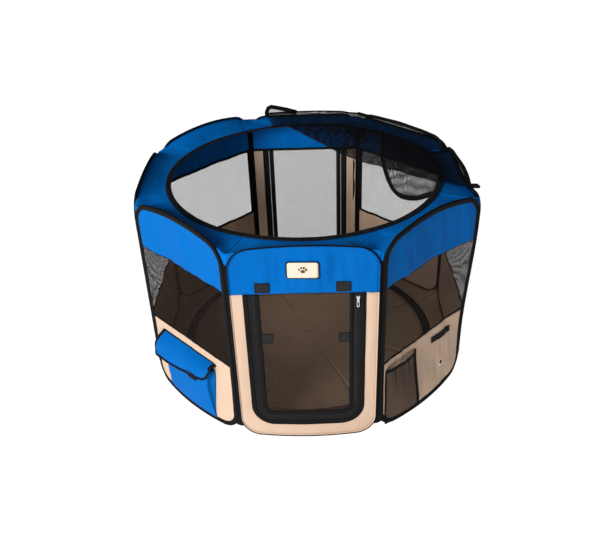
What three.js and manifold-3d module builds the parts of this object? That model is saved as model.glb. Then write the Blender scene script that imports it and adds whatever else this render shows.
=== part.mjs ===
// Folding eight-sided fabric pet playpen with a zip-out floor and a mesh roof cover.
// Millimetres, +Z up. The origin is the middle of the floor's underside and the front wall faces -Y.
import * as THREE from "three";
import { mergeVertices } from "three/addons/utils/BufferGeometryUtils.js";
import Module from "manifold-3d";

const wasm = await Module();
wasm.setup();

// ---- driving dimensions ----
const WALLS = ["front", "front_right", "right", "back_right", "back", "back_left", "left", "front_left"];
const WALL_ANGLE = (2 * Math.PI) / WALLS.length;
const WALL_PITCH = 380; // corner line to corner line
const APOTHEM = WALL_PITCH / 2 / Math.tan(WALL_ANGLE / 2); // centre to the middle plane of a wall
const HEIGHT = 585;
const CORNER_GAP = 3; // from the end of a wall to its corner line
const HALF_WIDTH = WALL_PITCH / 2 - CORNER_GAP;
const CORNER_RADIUS = 55; // outside of a wall's rounded corners
const CORNER_STEPS = 4; // straight steps in a rounded corner

const FABRIC = 1.5; // thickness of every cloth and mesh layer
const GAP = 0.3; // clearance between neighbouring pieces
const SKIN = FABRIC / 2; // middle plane of a wall to its outer face
const PROUD = SKIN + GAP; // inner face of anything sewn onto a wall

const SLEEVE_WIDTH = 11;
const SLEEVE_HALF_DEPTH = 3.5;
const WIRE_RADIUS = 1.75;
const WIRE_INSET = 3.9; // outer edge of the sleeve to the middle of the wire
const FABRIC_INSET = 7; // outer edge of the sleeve to the edge of the fabric in its slot

const BAND_EDGE = 0.785 * HEIGHT; // lower edge of the upper band
const LOWER_EDGE = 0.375 * HEIGHT; // upper edge of the lower band

const DOOR_HALF = 127.5; // the door flap, to the middle of its zip
const DOOR_BOTTOM = 63;
const DOOR_RADIUS = 34;
const ZIP_WIDTH = 24; // zip teeth, outer tape and binding

const OPENING_RADIUS = 391; // hole in the roof ring
const FLOOR_RADIUS = 381.5; // floor panel that zips out

const BLUE = 0x0a5fc0;
const BEIGE = 0xcfae86;
const BLACK = 0x17171a;
const NET = 0x2a2825;
const METAL = 0xb8babd;

const playpen = new THREE.Group();

// ---- shared helpers ----
function cloth(color) {
  return new THREE.MeshStandardMaterial({ color, roughness: 0.85, metalness: 0 });
}

function metal(color) {
  return new THREE.MeshStandardMaterial({ color, roughness: 0.3, metalness: 1 });
}

function addPart(parent, name, geometry, material) {
  const mesh = new THREE.Mesh(geometry, material);
  mesh.name = name;
  parent.add(mesh);
  return mesh;
}

function trianglesToGeometry(points, indices) {
  const geometry = new THREE.BufferGeometry();
  geometry.setAttribute("position", new THREE.Float32BufferAttribute(points.flat(), 3));
  geometry.setIndex(indices);
  return geometry;
}

// The two triangles of each cell between one row of points and the next.
function quadStrip(indices, rowA, rowB, count, wrap) {
  const cells = wrap ? count : count - 1;
  for (let i = 0; i < cells; i++) {
    const next = (i + 1) % count;
    indices.push(rowA + i, rowA + next, rowB + next, rowA + i, rowB + next, rowB + i);
  }
}

// A four-cornered cell as two triangles, split along its shorter diagonal so that parallel faces match.
function splitCell(indices, points, [a, b, c, d]) {
  const slack = 1e-6;
  if (points[a].distanceTo(points[c]) < points[b].distanceTo(points[d]) + slack) {
    indices.push(a, b, c, a, c, d);
  } else {
    indices.push(a, b, d, b, c, d);
  }
}

// A closed section carried round a closed loop: each section is a list of [x, y, z] points.
function loopSolid(sections) {
  const count = sections[0].length;
  const points = sections.flat().map((point) => new THREE.Vector3(...point));
  const indices = [];
  sections.forEach((_, i) => {
    const rowA = i * count;
    const rowB = ((i + 1) % sections.length) * count;
    for (let k = 0; k < count; k++) {
      const next = (k + 1) % count;
      splitCell(indices, points, [rowA + k, rowA + next, rowB + next, rowB + k]);
    }
  });
  return trianglesToGeometry(sections.flat(), indices);
}

// A stack of convex outlines, each a list of [x, y, z] points, closed by a flat cap at both ends.
function loftSolid(outlines) {
  const count = outlines[0].length;
  const indices = [];
  for (let i = 0; i + 1 < outlines.length; i++) {
    quadStrip(indices, i * count, (i + 1) * count, count, true);
  }
  const last = (outlines.length - 1) * count;
  for (let i = 1; i + 1 < count; i++) {
    indices.push(0, i + 1, i);
    indices.push(last, last + i, last + i + 1);
  }
  return trianglesToGeometry(outlines.flat(), indices);
}

// Two matching grids of points, an upper and a lower face, closed along their four edges.
function slabSolid(upper, lower) {
  const rows = upper.length;
  const columns = upper[0].length;
  const half = rows * columns;
  const indices = [];
  for (let r = 0; r + 1 < rows; r++) {
    quadStrip(indices, r * columns, (r + 1) * columns, columns, false);
    quadStrip(indices, half + (r + 1) * columns, half + r * columns, columns, false);
    const left = [r * columns, (r + 1) * columns];
    const right = left.map((i) => i + columns - 1);
    indices.push(left[0], left[1], half + left[1], left[0], half + left[1], half + left[0]);
    indices.push(right[1], right[0], half + right[0], right[1], half + right[0], half + right[1]);
  }
  const end = (rows - 1) * columns;
  quadStrip(indices, half, 0, columns, false);
  quadStrip(indices, end, half + end, columns, false);
  return trianglesToGeometry([...upper.flat(), ...lower.flat()], indices);
}

function toSolid(geometry) {
  const bare = geometry.clone();
  bare.deleteAttribute("normal");
  bare.deleteAttribute("uv");
  const merged = mergeVertices(bare, 1e-4);
  return new wasm.Manifold(
    new wasm.Mesh({
      numProp: 3,
      vertProperties: merged.attributes.position.array,
      triVerts: new Uint32Array(merged.index.array),
    }),
  );
}

function toGeometry(solid) {
  const mesh = solid.getMesh();
  const geometry = new THREE.BufferGeometry();
  geometry.setAttribute("position", new THREE.BufferAttribute(mesh.vertProperties, 3));
  geometry.setIndex(new THREE.BufferAttribute(mesh.triVerts, 1));
  return geometry;
}

// A flat layer of a wall. The outline is in the wall's plane: x along it, y up.
// The two distances are measured outwards from the wall's middle plane.
function plate(outline, innerFace, outerFace) {
  const geometry = new THREE.ExtrudeGeometry(outline, {
    depth: outerFace - innerFace,
    bevelEnabled: false,
    curveSegments: CORNER_STEPS / 2,
  });
  geometry.rotateX(Math.PI / 2);
  geometry.translate(0, -innerFace, 0);
  return geometry;
}

// A rectangle whose lower and upper corners have their own radii.
function panelOutline(left, bottom, right, top, bottomRadius = 0, topRadius = 0) {
  const outline = new THREE.Shape();
  outline.moveTo(left + bottomRadius, bottom);
  outline.lineTo(right - bottomRadius, bottom);
  if (bottomRadius) {
    outline.absarc(right - bottomRadius, bottom + bottomRadius, bottomRadius, -Math.PI / 2, 0);
  }
  outline.lineTo(right, top - topRadius);
  if (topRadius) outline.absarc(right - topRadius, top - topRadius, topRadius, 0, Math.PI / 2);
  outline.lineTo(left + topRadius, top);
  if (topRadius) outline.absarc(left + topRadius, top - topRadius, topRadius, Math.PI / 2, Math.PI);
  outline.lineTo(left, bottom + bottomRadius);
  if (bottomRadius) {
    outline.absarc(left + bottomRadius, bottom + bottomRadius, bottomRadius, Math.PI, 1.5 * Math.PI);
  }
  return outline;
}

// A U-shaped band, open at the top. Each side is {half, bottom, radius}.
function bandOutline(outer, inner, top) {
  const outline = new THREE.Shape();
  outline.moveTo(-outer.half, top);
  outline.lineTo(-outer.half, outer.bottom + outer.radius);
  outline.absarc(outer.radius - outer.half, outer.bottom + outer.radius, outer.radius, Math.PI, 1.5 * Math.PI);
  outline.lineTo(outer.half - outer.radius, outer.bottom);
  outline.absarc(outer.half - outer.radius, outer.bottom + outer.radius, outer.radius, -Math.PI / 2, 0);
  outline.lineTo(outer.half, top);
  outline.lineTo(inner.half, top);
  outline.lineTo(inner.half, inner.bottom + inner.radius);
  outline.absarc(inner.half - inner.radius, inner.bottom + inner.radius, inner.radius, 0, -Math.PI / 2, true);
  outline.lineTo(inner.radius - inner.half, inner.bottom);
  outline.absarc(inner.radius - inner.half, inner.bottom + inner.radius, inner.radius, 1.5 * Math.PI, Math.PI, true);
  outline.lineTo(-inner.half, top);
  return outline;
}

function flatRing(innerRadius, outerRadius, bottom, top, segments) {
  const profile = [
    new THREE.Vector2(innerRadius, bottom),
    new THREE.Vector2(outerRadius, bottom),
    new THREE.Vector2(outerRadius, top),
    new THREE.Vector2(innerRadius, top),
    new THREE.Vector2(innerRadius, bottom),
  ];
  const geometry = new THREE.LatheGeometry(profile, segments);
  geometry.rotateX(Math.PI / 2);
  return geometry;
}

// ---- a wall's hoop: the sprung wire and the sleeve that holds it ----
// Carries a section round the wall's rounded rectangle. A section point is [inset, depth].
function hoop(section) {
  const sections = [];
  for (let corner = 0; corner < 4; corner++) {
    const start = corner * (Math.PI / 2);
    const sideX = corner === 0 || corner === 3 ? 1 : -1;
    const sideZ = corner < 2 ? 1 : -1;
    const centreX = sideX * (HALF_WIDTH - CORNER_RADIUS);
    const centreZ = HEIGHT / 2 + sideZ * (HEIGHT / 2 - CORNER_RADIUS);
    for (let step = 0; step <= CORNER_STEPS; step++) {
      const angle = start + (step / CORNER_STEPS) * (Math.PI / 2);
      sections.push(
        section.map(([inset, depth]) => [
          centreX + Math.cos(angle) * (CORNER_RADIUS - inset),
          depth,
          centreZ + Math.sin(angle) * (CORNER_RADIUS - inset),
        ]),
      );
    }
  }
  return loopSolid(sections);
}

function wireSection() {
  const sides = 6;
  return Array.from({ length: sides }, (_, i) => {
    const angle = (-i / sides) * 2 * Math.PI;
    return [WIRE_INSET + WIRE_RADIUS * Math.cos(angle), WIRE_RADIUS * Math.sin(angle)];
  });
}

// A folded tape: rounded outside, a pocket round the wire and a slot for the fabric's edge.
function sleeveSection() {
  const pocket = WIRE_RADIUS + GAP;
  const slot = SKIN + GAP;
  const upper = [
    [0, 1.8],
    [1.6, SLEEVE_HALF_DEPTH],
    [6, SLEEVE_HALF_DEPTH],
    [SLEEVE_WIDTH, 2.2],
    [SLEEVE_WIDTH, slot],
    [WIRE_INSET + pocket, slot],
    [WIRE_INSET + 1.5, pocket],
    [WIRE_INSET - pocket, pocket],
  ];
  const lower = upper.map(([inset, depth]) => [inset, -depth]).reverse();
  return [...upper, ...lower];
}

// ---- fabric of a wall ----
const EDGE = HALF_WIDTH - FABRIC_INSET;
const EDGE_RADIUS = CORNER_RADIUS - FABRIC_INSET;

function upperBand() {
  const outline = panelOutline(-EDGE, BAND_EDGE + GAP / 2, EDGE, HEIGHT - FABRIC_INSET, 0, EDGE_RADIUS);
  return plate(outline, -SKIN, SKIN);
}

function meshWindow() {
  const outline = panelOutline(-EDGE, LOWER_EDGE + GAP / 2, EDGE, BAND_EDGE - GAP / 2);
  return plate(outline, -SKIN, SKIN);
}

function lowerBand(holes = []) {
  const outline = panelOutline(-EDGE, FABRIC_INSET, EDGE, LOWER_EDGE - GAP / 2, EDGE_RADIUS, 0);
  outline.holes.push(...holes);
  return plate(outline, -SKIN, SKIN);
}

// ---- a door: its surround, its zip and its mesh flap ----
const DOOR_TOP = BAND_EDGE - GAP / 2;

// The door's own U, moved outwards by a distance.
function doorEdge(outwards) {
  return {
    half: DOOR_HALF + outwards,
    bottom: DOOR_BOTTOM - outwards,
    radius: DOOR_RADIUS + outwards,
  };
}

function doorSurround() {
  const outer = { half: EDGE, bottom: FABRIC_INSET, radius: EDGE_RADIUS };
  return plate(bandOutline(outer, doorEdge(ZIP_WIDTH + 2 * GAP), DOOR_TOP), -SKIN, SKIN);
}

function doorZip() {
  return plate(bandOutline(doorEdge(ZIP_WIDTH + GAP), doorEdge(GAP), DOOR_TOP), -SKIN, SKIN);
}

function doorFlap() {
  const outline = panelOutline(-DOOR_HALF, DOOR_BOTTOM, DOOR_HALF, DOOR_TOP - GAP, DOOR_RADIUS, 0);
  return plate(outline, -SKIN, SKIN);
}

// Extrudes a profile whose x is the distance outwards and y is the height, centred along the wall.
function profileAlongWall(profile, length) {
  const geometry = new THREE.ExtrudeGeometry(profile, { depth: length, bevelEnabled: false });
  geometry.translate(0, 0, -length / 2);
  const outwards = new THREE.Vector3(0, -1, 0);
  const upwards = new THREE.Vector3(0, 0, 1);
  const along = new THREE.Vector3(-1, 0, 0);
  geometry.applyMatrix4(new THREE.Matrix4().makeBasis(outwards, upwards, along));
  return geometry;
}

const SLIDER_X = DOOR_HALF + GAP + 4.4; // middle of the slider
const SLIDER_TOP = 452;
const SLIDER_WIDTH = 8.2;
const SLIDER_HEIGHT = 13;
const SLIDER_BODY = 3.4; // outer face of its body
const SLIDER_CROWN = 4.6; // outer face of the crown that holds the pull
const CROWN_HEIGHT = 5;

function zipSlider() {
  const step = SLIDER_HEIGHT - CROWN_HEIGHT;
  const profile = new THREE.Shape();
  profile.moveTo(PROUD, 0);
  profile.lineTo(SLIDER_BODY, 0);
  profile.lineTo(SLIDER_BODY, step);
  profile.lineTo(SLIDER_CROWN, step);
  profile.lineTo(SLIDER_CROWN, SLIDER_HEIGHT - 1);
  profile.lineTo(SLIDER_CROWN - 1, SLIDER_HEIGHT);
  profile.lineTo(PROUD, SLIDER_HEIGHT);
  const geometry = profileAlongWall(profile, SLIDER_WIDTH);
  geometry.translate(SLIDER_X, 0, SLIDER_TOP - SLIDER_HEIGHT);
  return geometry;
}

const PULL_PIVOT_OUT = SLIDER_CROWN; // the pull turns about this line under the crown
const PULL_LENGTH = 28;
const PULL_HALF_THICKNESS = 0.6;

function sliderPull() {
  const top = SLIDER_TOP - CROWN_HEIGHT - GAP;
  const outline = panelOutline(SLIDER_X - 3.6, top - PULL_LENGTH, SLIDER_X + 3.6, top, 2, 0);
  return plate(outline, PULL_PIVOT_OUT - PULL_HALF_THICKNESS, PULL_PIVOT_OUT + PULL_HALF_THICKNESS);
}

// ---- small sewn pieces of the front wall ----
const TAB_THICKNESS = 1.5;

// A hook-and-loop tab by its middle and its size.
function hookTab(x, z, width, height) {
  const outline = panelOutline(x - width / 2, z - height / 2, x + width / 2, z + height / 2);
  return plate(outline, PROUD, PROUD + TAB_THICKNESS);
}

function labelPatch() {
  return plate(panelOutline(-42, 497, 38, 544, 5, 5), PROUD, PROUD + 1);
}

// ---- cargo pocket of the front left wall ----
const CARGO = { left: -141, right: 110, bottom: 13, top: 174, depthBottom: 26, depthTop: 38 };
const BOTTLE = { left: -154, right: -34, bottom: 19, top: 187, depthBottom: 20, depthTop: 26 };
const POCKET_LEVELS = 3;
const POCKET_STEPS = 10;
const POCKET_BLUNTNESS = 0.55; // below 1 squares the curve of the pocket's plan

// Outline at one height: a blunt half oval standing out of the wall.
function pocketPlan(pocket, depth, z, inset, back) {
  const middle = (pocket.left + pocket.right) / 2;
  const half = (pocket.right - pocket.left) / 2 - inset;
  const plan = [];
  for (let i = 0; i <= POCKET_STEPS; i++) {
    const angle = (i / POCKET_STEPS) * Math.PI;
    const along = -Math.sign(Math.cos(angle)) * Math.abs(Math.cos(angle)) ** POCKET_BLUNTNESS;
    const out = Math.abs(Math.sin(angle)) ** POCKET_BLUNTNESS;
    plan.push([middle + half * along, -(PROUD + (depth - PROUD - inset) * out), z]);
  }
  if (back === undefined) return plan;
  plan[0][1] = -back;
  plan[POCKET_STEPS][1] = -back;
  return plan;
}

function pocketBody(pocket, bottom, top, inset, back) {
  const levels = [];
  for (let i = 0; i < POCKET_LEVELS; i++) {
    const share = i / (POCKET_LEVELS - 1);
    const depth = pocket.depthBottom + (pocket.depthTop - pocket.depthBottom) * share;
    levels.push(pocketPlan(pocket, depth, bottom + (top - bottom) * share, inset, back));
  }
  return loftSolid(levels);
}

// A bag open at the top and closed at the back by the wall that it is sewn to.
function pocketShell(pocket) {
  const outside = toSolid(pocketBody(pocket, pocket.bottom, pocket.top, 0));
  const inside = toSolid(pocketBody(pocket, pocket.bottom + FABRIC, pocket.top + 5, FABRIC, 0));
  return toGeometry(outside.subtract(inside));
}

const FLAP_LEFT = -172;
const FLAP_RIGHT = 118;
const FLAP_HINGE_Z = 195;
const FLAP_FRONT = 42.5; // inner face of the part that hangs in front of the bag
const FLAP_BEND_Z = 181;
const FLAP_BOTTOM = 117;
const PULL_STRAP = { x: 39, width: 18, bottom: 106 };

// A cloth flap that slopes out over the bag and hangs down in front of it, with its webbing pull.
function pocketFlap() {
  const root = PROUD + GAP;
  const profile = new THREE.Shape();
  profile.moveTo(root, FLAP_HINGE_Z);
  profile.lineTo(root, FLAP_HINGE_Z - FABRIC);
  profile.lineTo(FLAP_FRONT, FLAP_BEND_Z - FABRIC);
  profile.lineTo(FLAP_FRONT, FLAP_BOTTOM);
  profile.lineTo(FLAP_FRONT + FABRIC, FLAP_BOTTOM);
  profile.lineTo(FLAP_FRONT + FABRIC, FLAP_BEND_Z);
  const sheet = profileAlongWall(profile, FLAP_RIGHT - FLAP_LEFT);
  sheet.translate((FLAP_LEFT + FLAP_RIGHT) / 2, 0, 0);
  const left = PULL_STRAP.x - PULL_STRAP.width / 2;
  const right = PULL_STRAP.x + PULL_STRAP.width / 2;
  const strapOutline = panelOutline(left, PULL_STRAP.bottom, right, FLAP_BOTTOM + 8);
  const strap = plate(strapOutline, FLAP_FRONT, FLAP_FRONT + FABRIC);
  return toGeometry(toSolid(sheet).add(toSolid(strap)));
}

// ---- webbing strip and cable grommet of the front right wall ----
function webbingStrip() {
  return plate(panelOutline(49, 166, 126, 185), PROUD, PROUD + TAB_THICKNESS);
}

const GROMMET = { x: 78, z: 85, hole: 6, barrel: 7.2, flange: 10.5, flangeThickness: 0.9 };

function grommetHole() {
  const sides = 16;
  const radius = (GROMMET.barrel + GAP) / Math.cos(Math.PI / sides);
  const corners = Array.from({ length: sides }, (_, i) => {
    const angle = (-i / sides) * 2 * Math.PI;
    return new THREE.Vector2(GROMMET.x + radius * Math.cos(angle), GROMMET.z + radius * Math.sin(angle));
  });
  return new THREE.Path(corners);
}

function grommet() {
  const near = PROUD;
  const far = PROUD + GROMMET.flangeThickness;
  const profile = [
    [GROMMET.hole, -far],
    [GROMMET.flange, -far],
    [GROMMET.flange, -near],
    [GROMMET.barrel, -near],
    [GROMMET.barrel, near],
    [GROMMET.flange, near],
    [GROMMET.flange, far],
    [GROMMET.hole, far],
    [GROMMET.hole, -far],
  ].map(([radius, height]) => new THREE.Vector2(radius, height));
  const geometry = new THREE.LatheGeometry(profile, 16);
  geometry.translate(GROMMET.x, 0, GROMMET.z);
  return geometry;
}

// ---- roof ring: the blue cloth from the walls' top edges in to the round opening ----
const RING_OUTSET = SLEEVE_HALF_DEPTH + 0.4; // wall's middle plane to the ring's edge
const RING_EDGE_Z = 580;
const OPENING_Z = 570;
const RING_SAG = 3;
const RING_CORNER_Z = 540; // where the ring dips into the notch between two walls
const RING_HALF_THICKNESS = 1.2; // thicker than a wall's cloth, so its steep corners aren't too thin

function ringEdgeHeight(along) {
  const beyond = Math.abs(along) - (HALF_WIDTH - CORNER_RADIUS);
  if (beyond <= 0) return RING_EDGE_Z;
  const radius = CORNER_RADIUS - (HEIGHT - RING_EDGE_Z);
  const drop = radius - Math.sqrt(Math.max(0, radius ** 2 - beyond ** 2));
  return Math.max(RING_CORNER_Z, RING_EDGE_Z - drop);
}

function roofRing() {
  const corner = WALL_PITCH / 2 - RING_OUTSET * Math.tan(WALL_ANGLE / 2);
  const stations = [-corner, -174, -150, -120, -45, 45, 120, 150, 174];
  const sections = [];
  WALLS.forEach((_, i) => {
    stations.forEach((along) => sections.push(ringSection(i * WALL_ANGLE, along)));
  });
  return loopSolid(sections);
}

function ringSection(wallAngle, along) {
  const out = APOTHEM - RING_OUTSET;
  const angle = wallAngle + Math.atan2(along, out);
  const outerRadius = Math.hypot(along, out);
  const outerZ = ringEdgeHeight(along);
  const middleRadius = (outerRadius + OPENING_RADIUS) / 2;
  const middleZ = (outerZ + OPENING_Z) / 2 - RING_SAG;
  const at = (radius, z) => [radius * Math.sin(angle), -radius * Math.cos(angle), z];
  return [
    at(outerRadius, outerZ - RING_HALF_THICKNESS),
    at(middleRadius, middleZ - RING_HALF_THICKNESS),
    at(OPENING_RADIUS, OPENING_Z - RING_HALF_THICKNESS),
    at(OPENING_RADIUS, OPENING_Z + RING_HALF_THICKNESS),
    at(middleRadius, middleZ + RING_HALF_THICKNESS),
    at(outerRadius, outerZ + RING_HALF_THICKNESS),
  ];
}

const ROUND_SEGMENTS = 64;

function roofZip() {
  return flatRing(384, 397, OPENING_Z + 2.2, OPENING_Z + 4.2, ROUND_SEGMENTS);
}

// ---- roof cover: a round mesh sheet folded back over the rear right of the opening ----
const COVER_RADIUS = 388;
const COVER_FOLD = 200; // middle of the pen to the fold across the opening
const COVER_THICKNESS = 3;
const COVER_TOP = HEIGHT + 1.5; // underside of the cover where it passes over a wall
const COVER_SLOPE = 0.04;
const COVER_OUT = 6; // wall's middle plane to the cover that hangs outside it
const COVER_DROP = 115; // how far it hangs down outside
const COVER_COLUMNS = [-386, -350, -300, -245, -190, -120, -40, 40, 120, 190, 245, 300, 350, 386];
const COVER_ROWS_OVER = 3;
const COVER_ROWS_DOWN = 2;

// One point of the cover's underside: across the fold, and along the cloth from the pen's middle.
function coverPoint(across, along, edge, raise) {
  if (along <= edge) return coverToPen(across, along, COVER_TOP - COVER_SLOPE * (edge - along) + raise);
  const out = edge + COVER_OUT + raise;
  return coverToPen(across, out, COVER_TOP + raise - (along - edge));
}

// The fold runs square to the back right wall's direction.
function coverToPen(across, along, z) {
  const direction = Math.PI / 4;
  return [
    along * Math.cos(direction) - across * Math.sin(direction),
    along * Math.sin(direction) + across * Math.cos(direction),
    z,
  ];
}

function coverFace(raise) {
  return COVER_COLUMNS.map((across) => {
    const edge = APOTHEM - Math.max(0, Math.abs(across) - WALL_PITCH / 2);
    const reach = Math.sqrt(COVER_RADIUS ** 2 - across ** 2);
    const start = Math.min(2 * COVER_FOLD - reach, edge - 20);
    const first = Math.max(COVER_FOLD, start);
    const last = Math.min(2 * COVER_FOLD + reach, edge + COVER_DROP);
    const column = [];
    for (let i = 0; i < COVER_ROWS_OVER; i++) {
      const along = first + (i / COVER_ROWS_OVER) * (edge - first);
      column.push(coverPoint(across, along, edge, raise));
    }
    column.push(coverToPen(across, edge + COVER_OUT + raise, COVER_TOP + raise));
    for (let i = 1; i <= COVER_ROWS_DOWN; i++) {
      const along = edge + (i / COVER_ROWS_DOWN) * (last - edge);
      column.push(coverPoint(across, along, edge, raise));
    }
    return column;
  });
}

function roofCover() {
  return slabSolid(coverFace(COVER_THICKNESS), coverFace(0));
}

// ---- floor ----
function floorBorder() {
  const outline = new THREE.Shape();
  const radius = (APOTHEM - RING_OUTSET) / Math.cos(WALL_ANGLE / 2);
  WALLS.forEach((_, i) => {
    const angle = (i + 0.5) * WALL_ANGLE;
    const point = [radius * Math.cos(angle), radius * Math.sin(angle)];
    if (i) outline.lineTo(...point);
    else outline.moveTo(...point);
  });
  const hole = new THREE.Path();
  hole.absarc(0, 0, FLOOR_RADIUS + 1.5, 0, 2 * Math.PI, true);
  outline.holes.push(hole);
  const settings = { depth: FABRIC, bevelEnabled: false, curveSegments: ROUND_SEGMENTS / 2 };
  return new THREE.ExtrudeGeometry(outline, settings);
}

function floorZip() {
  return flatRing(FLOOR_RADIUS + 0.5, FLOOR_RADIUS + 19.5, FABRIC + GAP, FABRIC + GAP + 2, ROUND_SEGMENTS);
}

function floorPanel() {
  const geometry = new THREE.CylinderGeometry(FLOOR_RADIUS, FLOOR_RADIUS, FABRIC, ROUND_SEGMENTS);
  geometry.rotateX(Math.PI / 2);
  geometry.translate(0, 0, FABRIC / 2);
  return geometry;
}

// ---- assembly ----
// A wall's group: x along the wall, y inwards, its middle plane at y = 0.
function wallGroup(index) {
  const group = new THREE.Group();
  const angle = index * WALL_ANGLE;
  group.rotation.z = angle;
  group.position.set(APOTHEM * Math.sin(angle), -APOTHEM * Math.cos(angle), 0);
  playpen.add(group);
  return group;
}

function addHoop(group, wall) {
  addPart(group, `wire_${wall}`, hoop(wireSection()), metal(METAL));
  addPart(group, `sleeve_${wall}`, hoop(sleeveSection()), cloth(BLACK));
  addPart(group, `upper_band_${wall}`, upperBand(), cloth(BLUE));
}

function addWindowWall(group, wall) {
  const holes = wall === "front_right" ? [grommetHole()] : [];
  addPart(group, `window_${wall}`, meshWindow(), cloth(NET));
  addPart(group, `lower_band_${wall}`, lowerBand(holes), cloth(BEIGE));
}

function addDoorWall(group, wall) {
  addPart(group, `door_surround_${wall}`, doorSurround(), cloth(BEIGE));
  addPart(group, `door_zip_${wall}`, doorZip(), cloth(BLACK));
  addPart(group, `door_flap_${wall}`, doorFlap(), cloth(NET));
}

function addFrontFittings(group) {
  addPart(group, "zip_slider", zipSlider(), metal(METAL));
  addPart(group, "zip_pull", sliderPull(), metal(METAL));
  addPart(group, "label_patch", labelPatch(), cloth(BEIGE));
  for (const [side, x] of [["left", -103], ["right", 96]]) {
    addPart(group, `hook_tab_band_${side}`, hookTab(x, 477, 36, 28), cloth(BLACK));
  }
  for (const [side, x] of [["left", -98], ["right", 98]]) {
    addPart(group, `hook_tab_flap_${side}`, hookTab(x, 325, 28, 30), cloth(BLACK));
  }
}

WALLS.forEach((wall, i) => {
  const group = wallGroup(i);
  addHoop(group, wall);
  if (wall === "front" || wall === "back") addDoorWall(group, wall);
  else addWindowWall(group, wall);
  if (wall === "front") addFrontFittings(group);
  if (wall === "front_left") {
    addPart(group, "cargo_pocket", pocketShell(CARGO), cloth(BLUE));
    addPart(group, "cargo_pocket_flap", pocketFlap(), cloth(BLUE));
  }
  if (wall === "front_right") {
    addPart(group, "bottle_pocket", pocketShell(BOTTLE), cloth(NET));
    addPart(group, "webbing_strip", webbingStrip(), cloth(BLACK));
    addPart(group, "cable_grommet", grommet(), metal(METAL));
  }
});

addPart(playpen, "roof_ring", roofRing(), cloth(BLUE));
addPart(playpen, "roof_zip", roofZip(), cloth(BLACK));
addPart(playpen, "roof_cover", roofCover(), cloth(NET));
addPart(playpen, "floor_border", floorBorder(), cloth(BEIGE));
addPart(playpen, "floor_zip", floorZip(), cloth(BLACK));
addPart(playpen, "floor_panel", floorPanel(), cloth(BEIGE));

export default playpen;
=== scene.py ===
"""A folding fabric pet playpen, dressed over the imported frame. Metres, +Z up, the front faces -Y."""
import math

import bmesh
import bpy
from mathutils import Matrix, Vector, noise


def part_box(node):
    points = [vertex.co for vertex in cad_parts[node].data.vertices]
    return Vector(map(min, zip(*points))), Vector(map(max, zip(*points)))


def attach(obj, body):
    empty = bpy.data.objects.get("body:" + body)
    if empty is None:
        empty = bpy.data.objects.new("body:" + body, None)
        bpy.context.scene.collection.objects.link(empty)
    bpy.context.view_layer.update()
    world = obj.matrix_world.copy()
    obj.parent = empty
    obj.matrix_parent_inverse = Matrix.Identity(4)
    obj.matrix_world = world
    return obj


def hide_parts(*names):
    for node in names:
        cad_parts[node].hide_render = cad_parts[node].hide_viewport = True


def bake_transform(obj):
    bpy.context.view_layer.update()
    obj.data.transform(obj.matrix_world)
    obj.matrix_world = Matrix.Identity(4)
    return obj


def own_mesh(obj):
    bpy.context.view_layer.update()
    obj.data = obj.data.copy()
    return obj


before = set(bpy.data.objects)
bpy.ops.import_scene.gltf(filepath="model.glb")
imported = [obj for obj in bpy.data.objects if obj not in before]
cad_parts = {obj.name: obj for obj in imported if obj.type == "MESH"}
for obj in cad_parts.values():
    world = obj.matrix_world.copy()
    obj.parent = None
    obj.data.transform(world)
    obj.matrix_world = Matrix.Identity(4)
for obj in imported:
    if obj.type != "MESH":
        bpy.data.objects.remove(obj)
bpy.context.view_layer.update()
MM = 0.001
UP = Vector((0, 0, 1))

# ---- sizes read from the frame ----
WALLS = ["front", "front_right", "right", "back_right", "back", "back_left", "left", "front_left"]
FRONT_RIGHT, FRONT_LEFT = WALLS.index("front_right"), WALLS.index("front_left")
STEP = math.tau / len(WALLS)
HALF_STEP = STEP / 2
SLEEVE_LOW, SLEEVE_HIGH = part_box("sleeve_front")
HALF_WIDTH = SLEEVE_HIGH[0]
HEIGHT = SLEEVE_HIGH[2]
APOTHEM = -(SLEEVE_LOW[1] + SLEEVE_HIGH[1]) / 2
PITCH = 2 * APOTHEM * math.tan(STEP / 2)
BAND_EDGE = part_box("upper_band_front")[0][2]
LOWER_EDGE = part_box("lower_band_right")[1][2]
DOOR_LOW, DOOR_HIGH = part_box("door_flap_front")
DOOR_HALF = DOOR_HIGH[0]
RIM_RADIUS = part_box("roof_zip")[1][0] - 6 * MM
RIM_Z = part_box("roof_zip")[0][2] - 2.2 * MM
FLOOR_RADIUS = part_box("floor_panel")[1][0]
FLOOR_ZIP_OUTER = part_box("floor_zip")[1][0]

# ---- sizes of the dressing ----
CORNER_RADIUS = 55 * MM
TUCK = 5 * MM  # how far inside the sleeve's outer edge the cloth ends
CLOTH = 0.9 * MM
BINDING_WIDTH = 15.5 * MM
SLEEVE_WIDTH = 6.2 * MM  # the front wall's cloth is folded over its wire, with a thin dark edge
NOTCH_LOW = 24 * MM  # where the hoops' rounded corners come together above the floor
SEAM_TAPE = 9 * MM
ARCH = {"front": 13 * MM, "front_right": 27 * MM, "right": -22 * MM, "back_right": -6 * MM,
        "back_left": 27 * MM, "left": 17 * MM, "front_left": 28 * MM}
BOW = {"front": 19 * MM, "front_right": 24 * MM, "front_left": 24 * MM}
LEAN = 17 * MM  # how far the top of the corner after LEANING stands outwards
LEANING = "front_right"
WIRE_RADIUS = 1.75 * MM
WIRE_INSET = 3.9 * MM
DOOR_RADIUS = 34 * MM
DOOR_RIPPLE = 0.7 * MM
DOOR_ZIP_LEVEL = 1.2 * MM  # out from the wall's middle plane to the middle of the zip's tapes
COIL_OFFSET = 1.5 * MM
COIL_RADIUS = 1.5 * MM
TOOTH_PITCH = 3.0 * MM
OPEN_CORNER = "back"  # no joint closes the loop between this wall and the next


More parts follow.
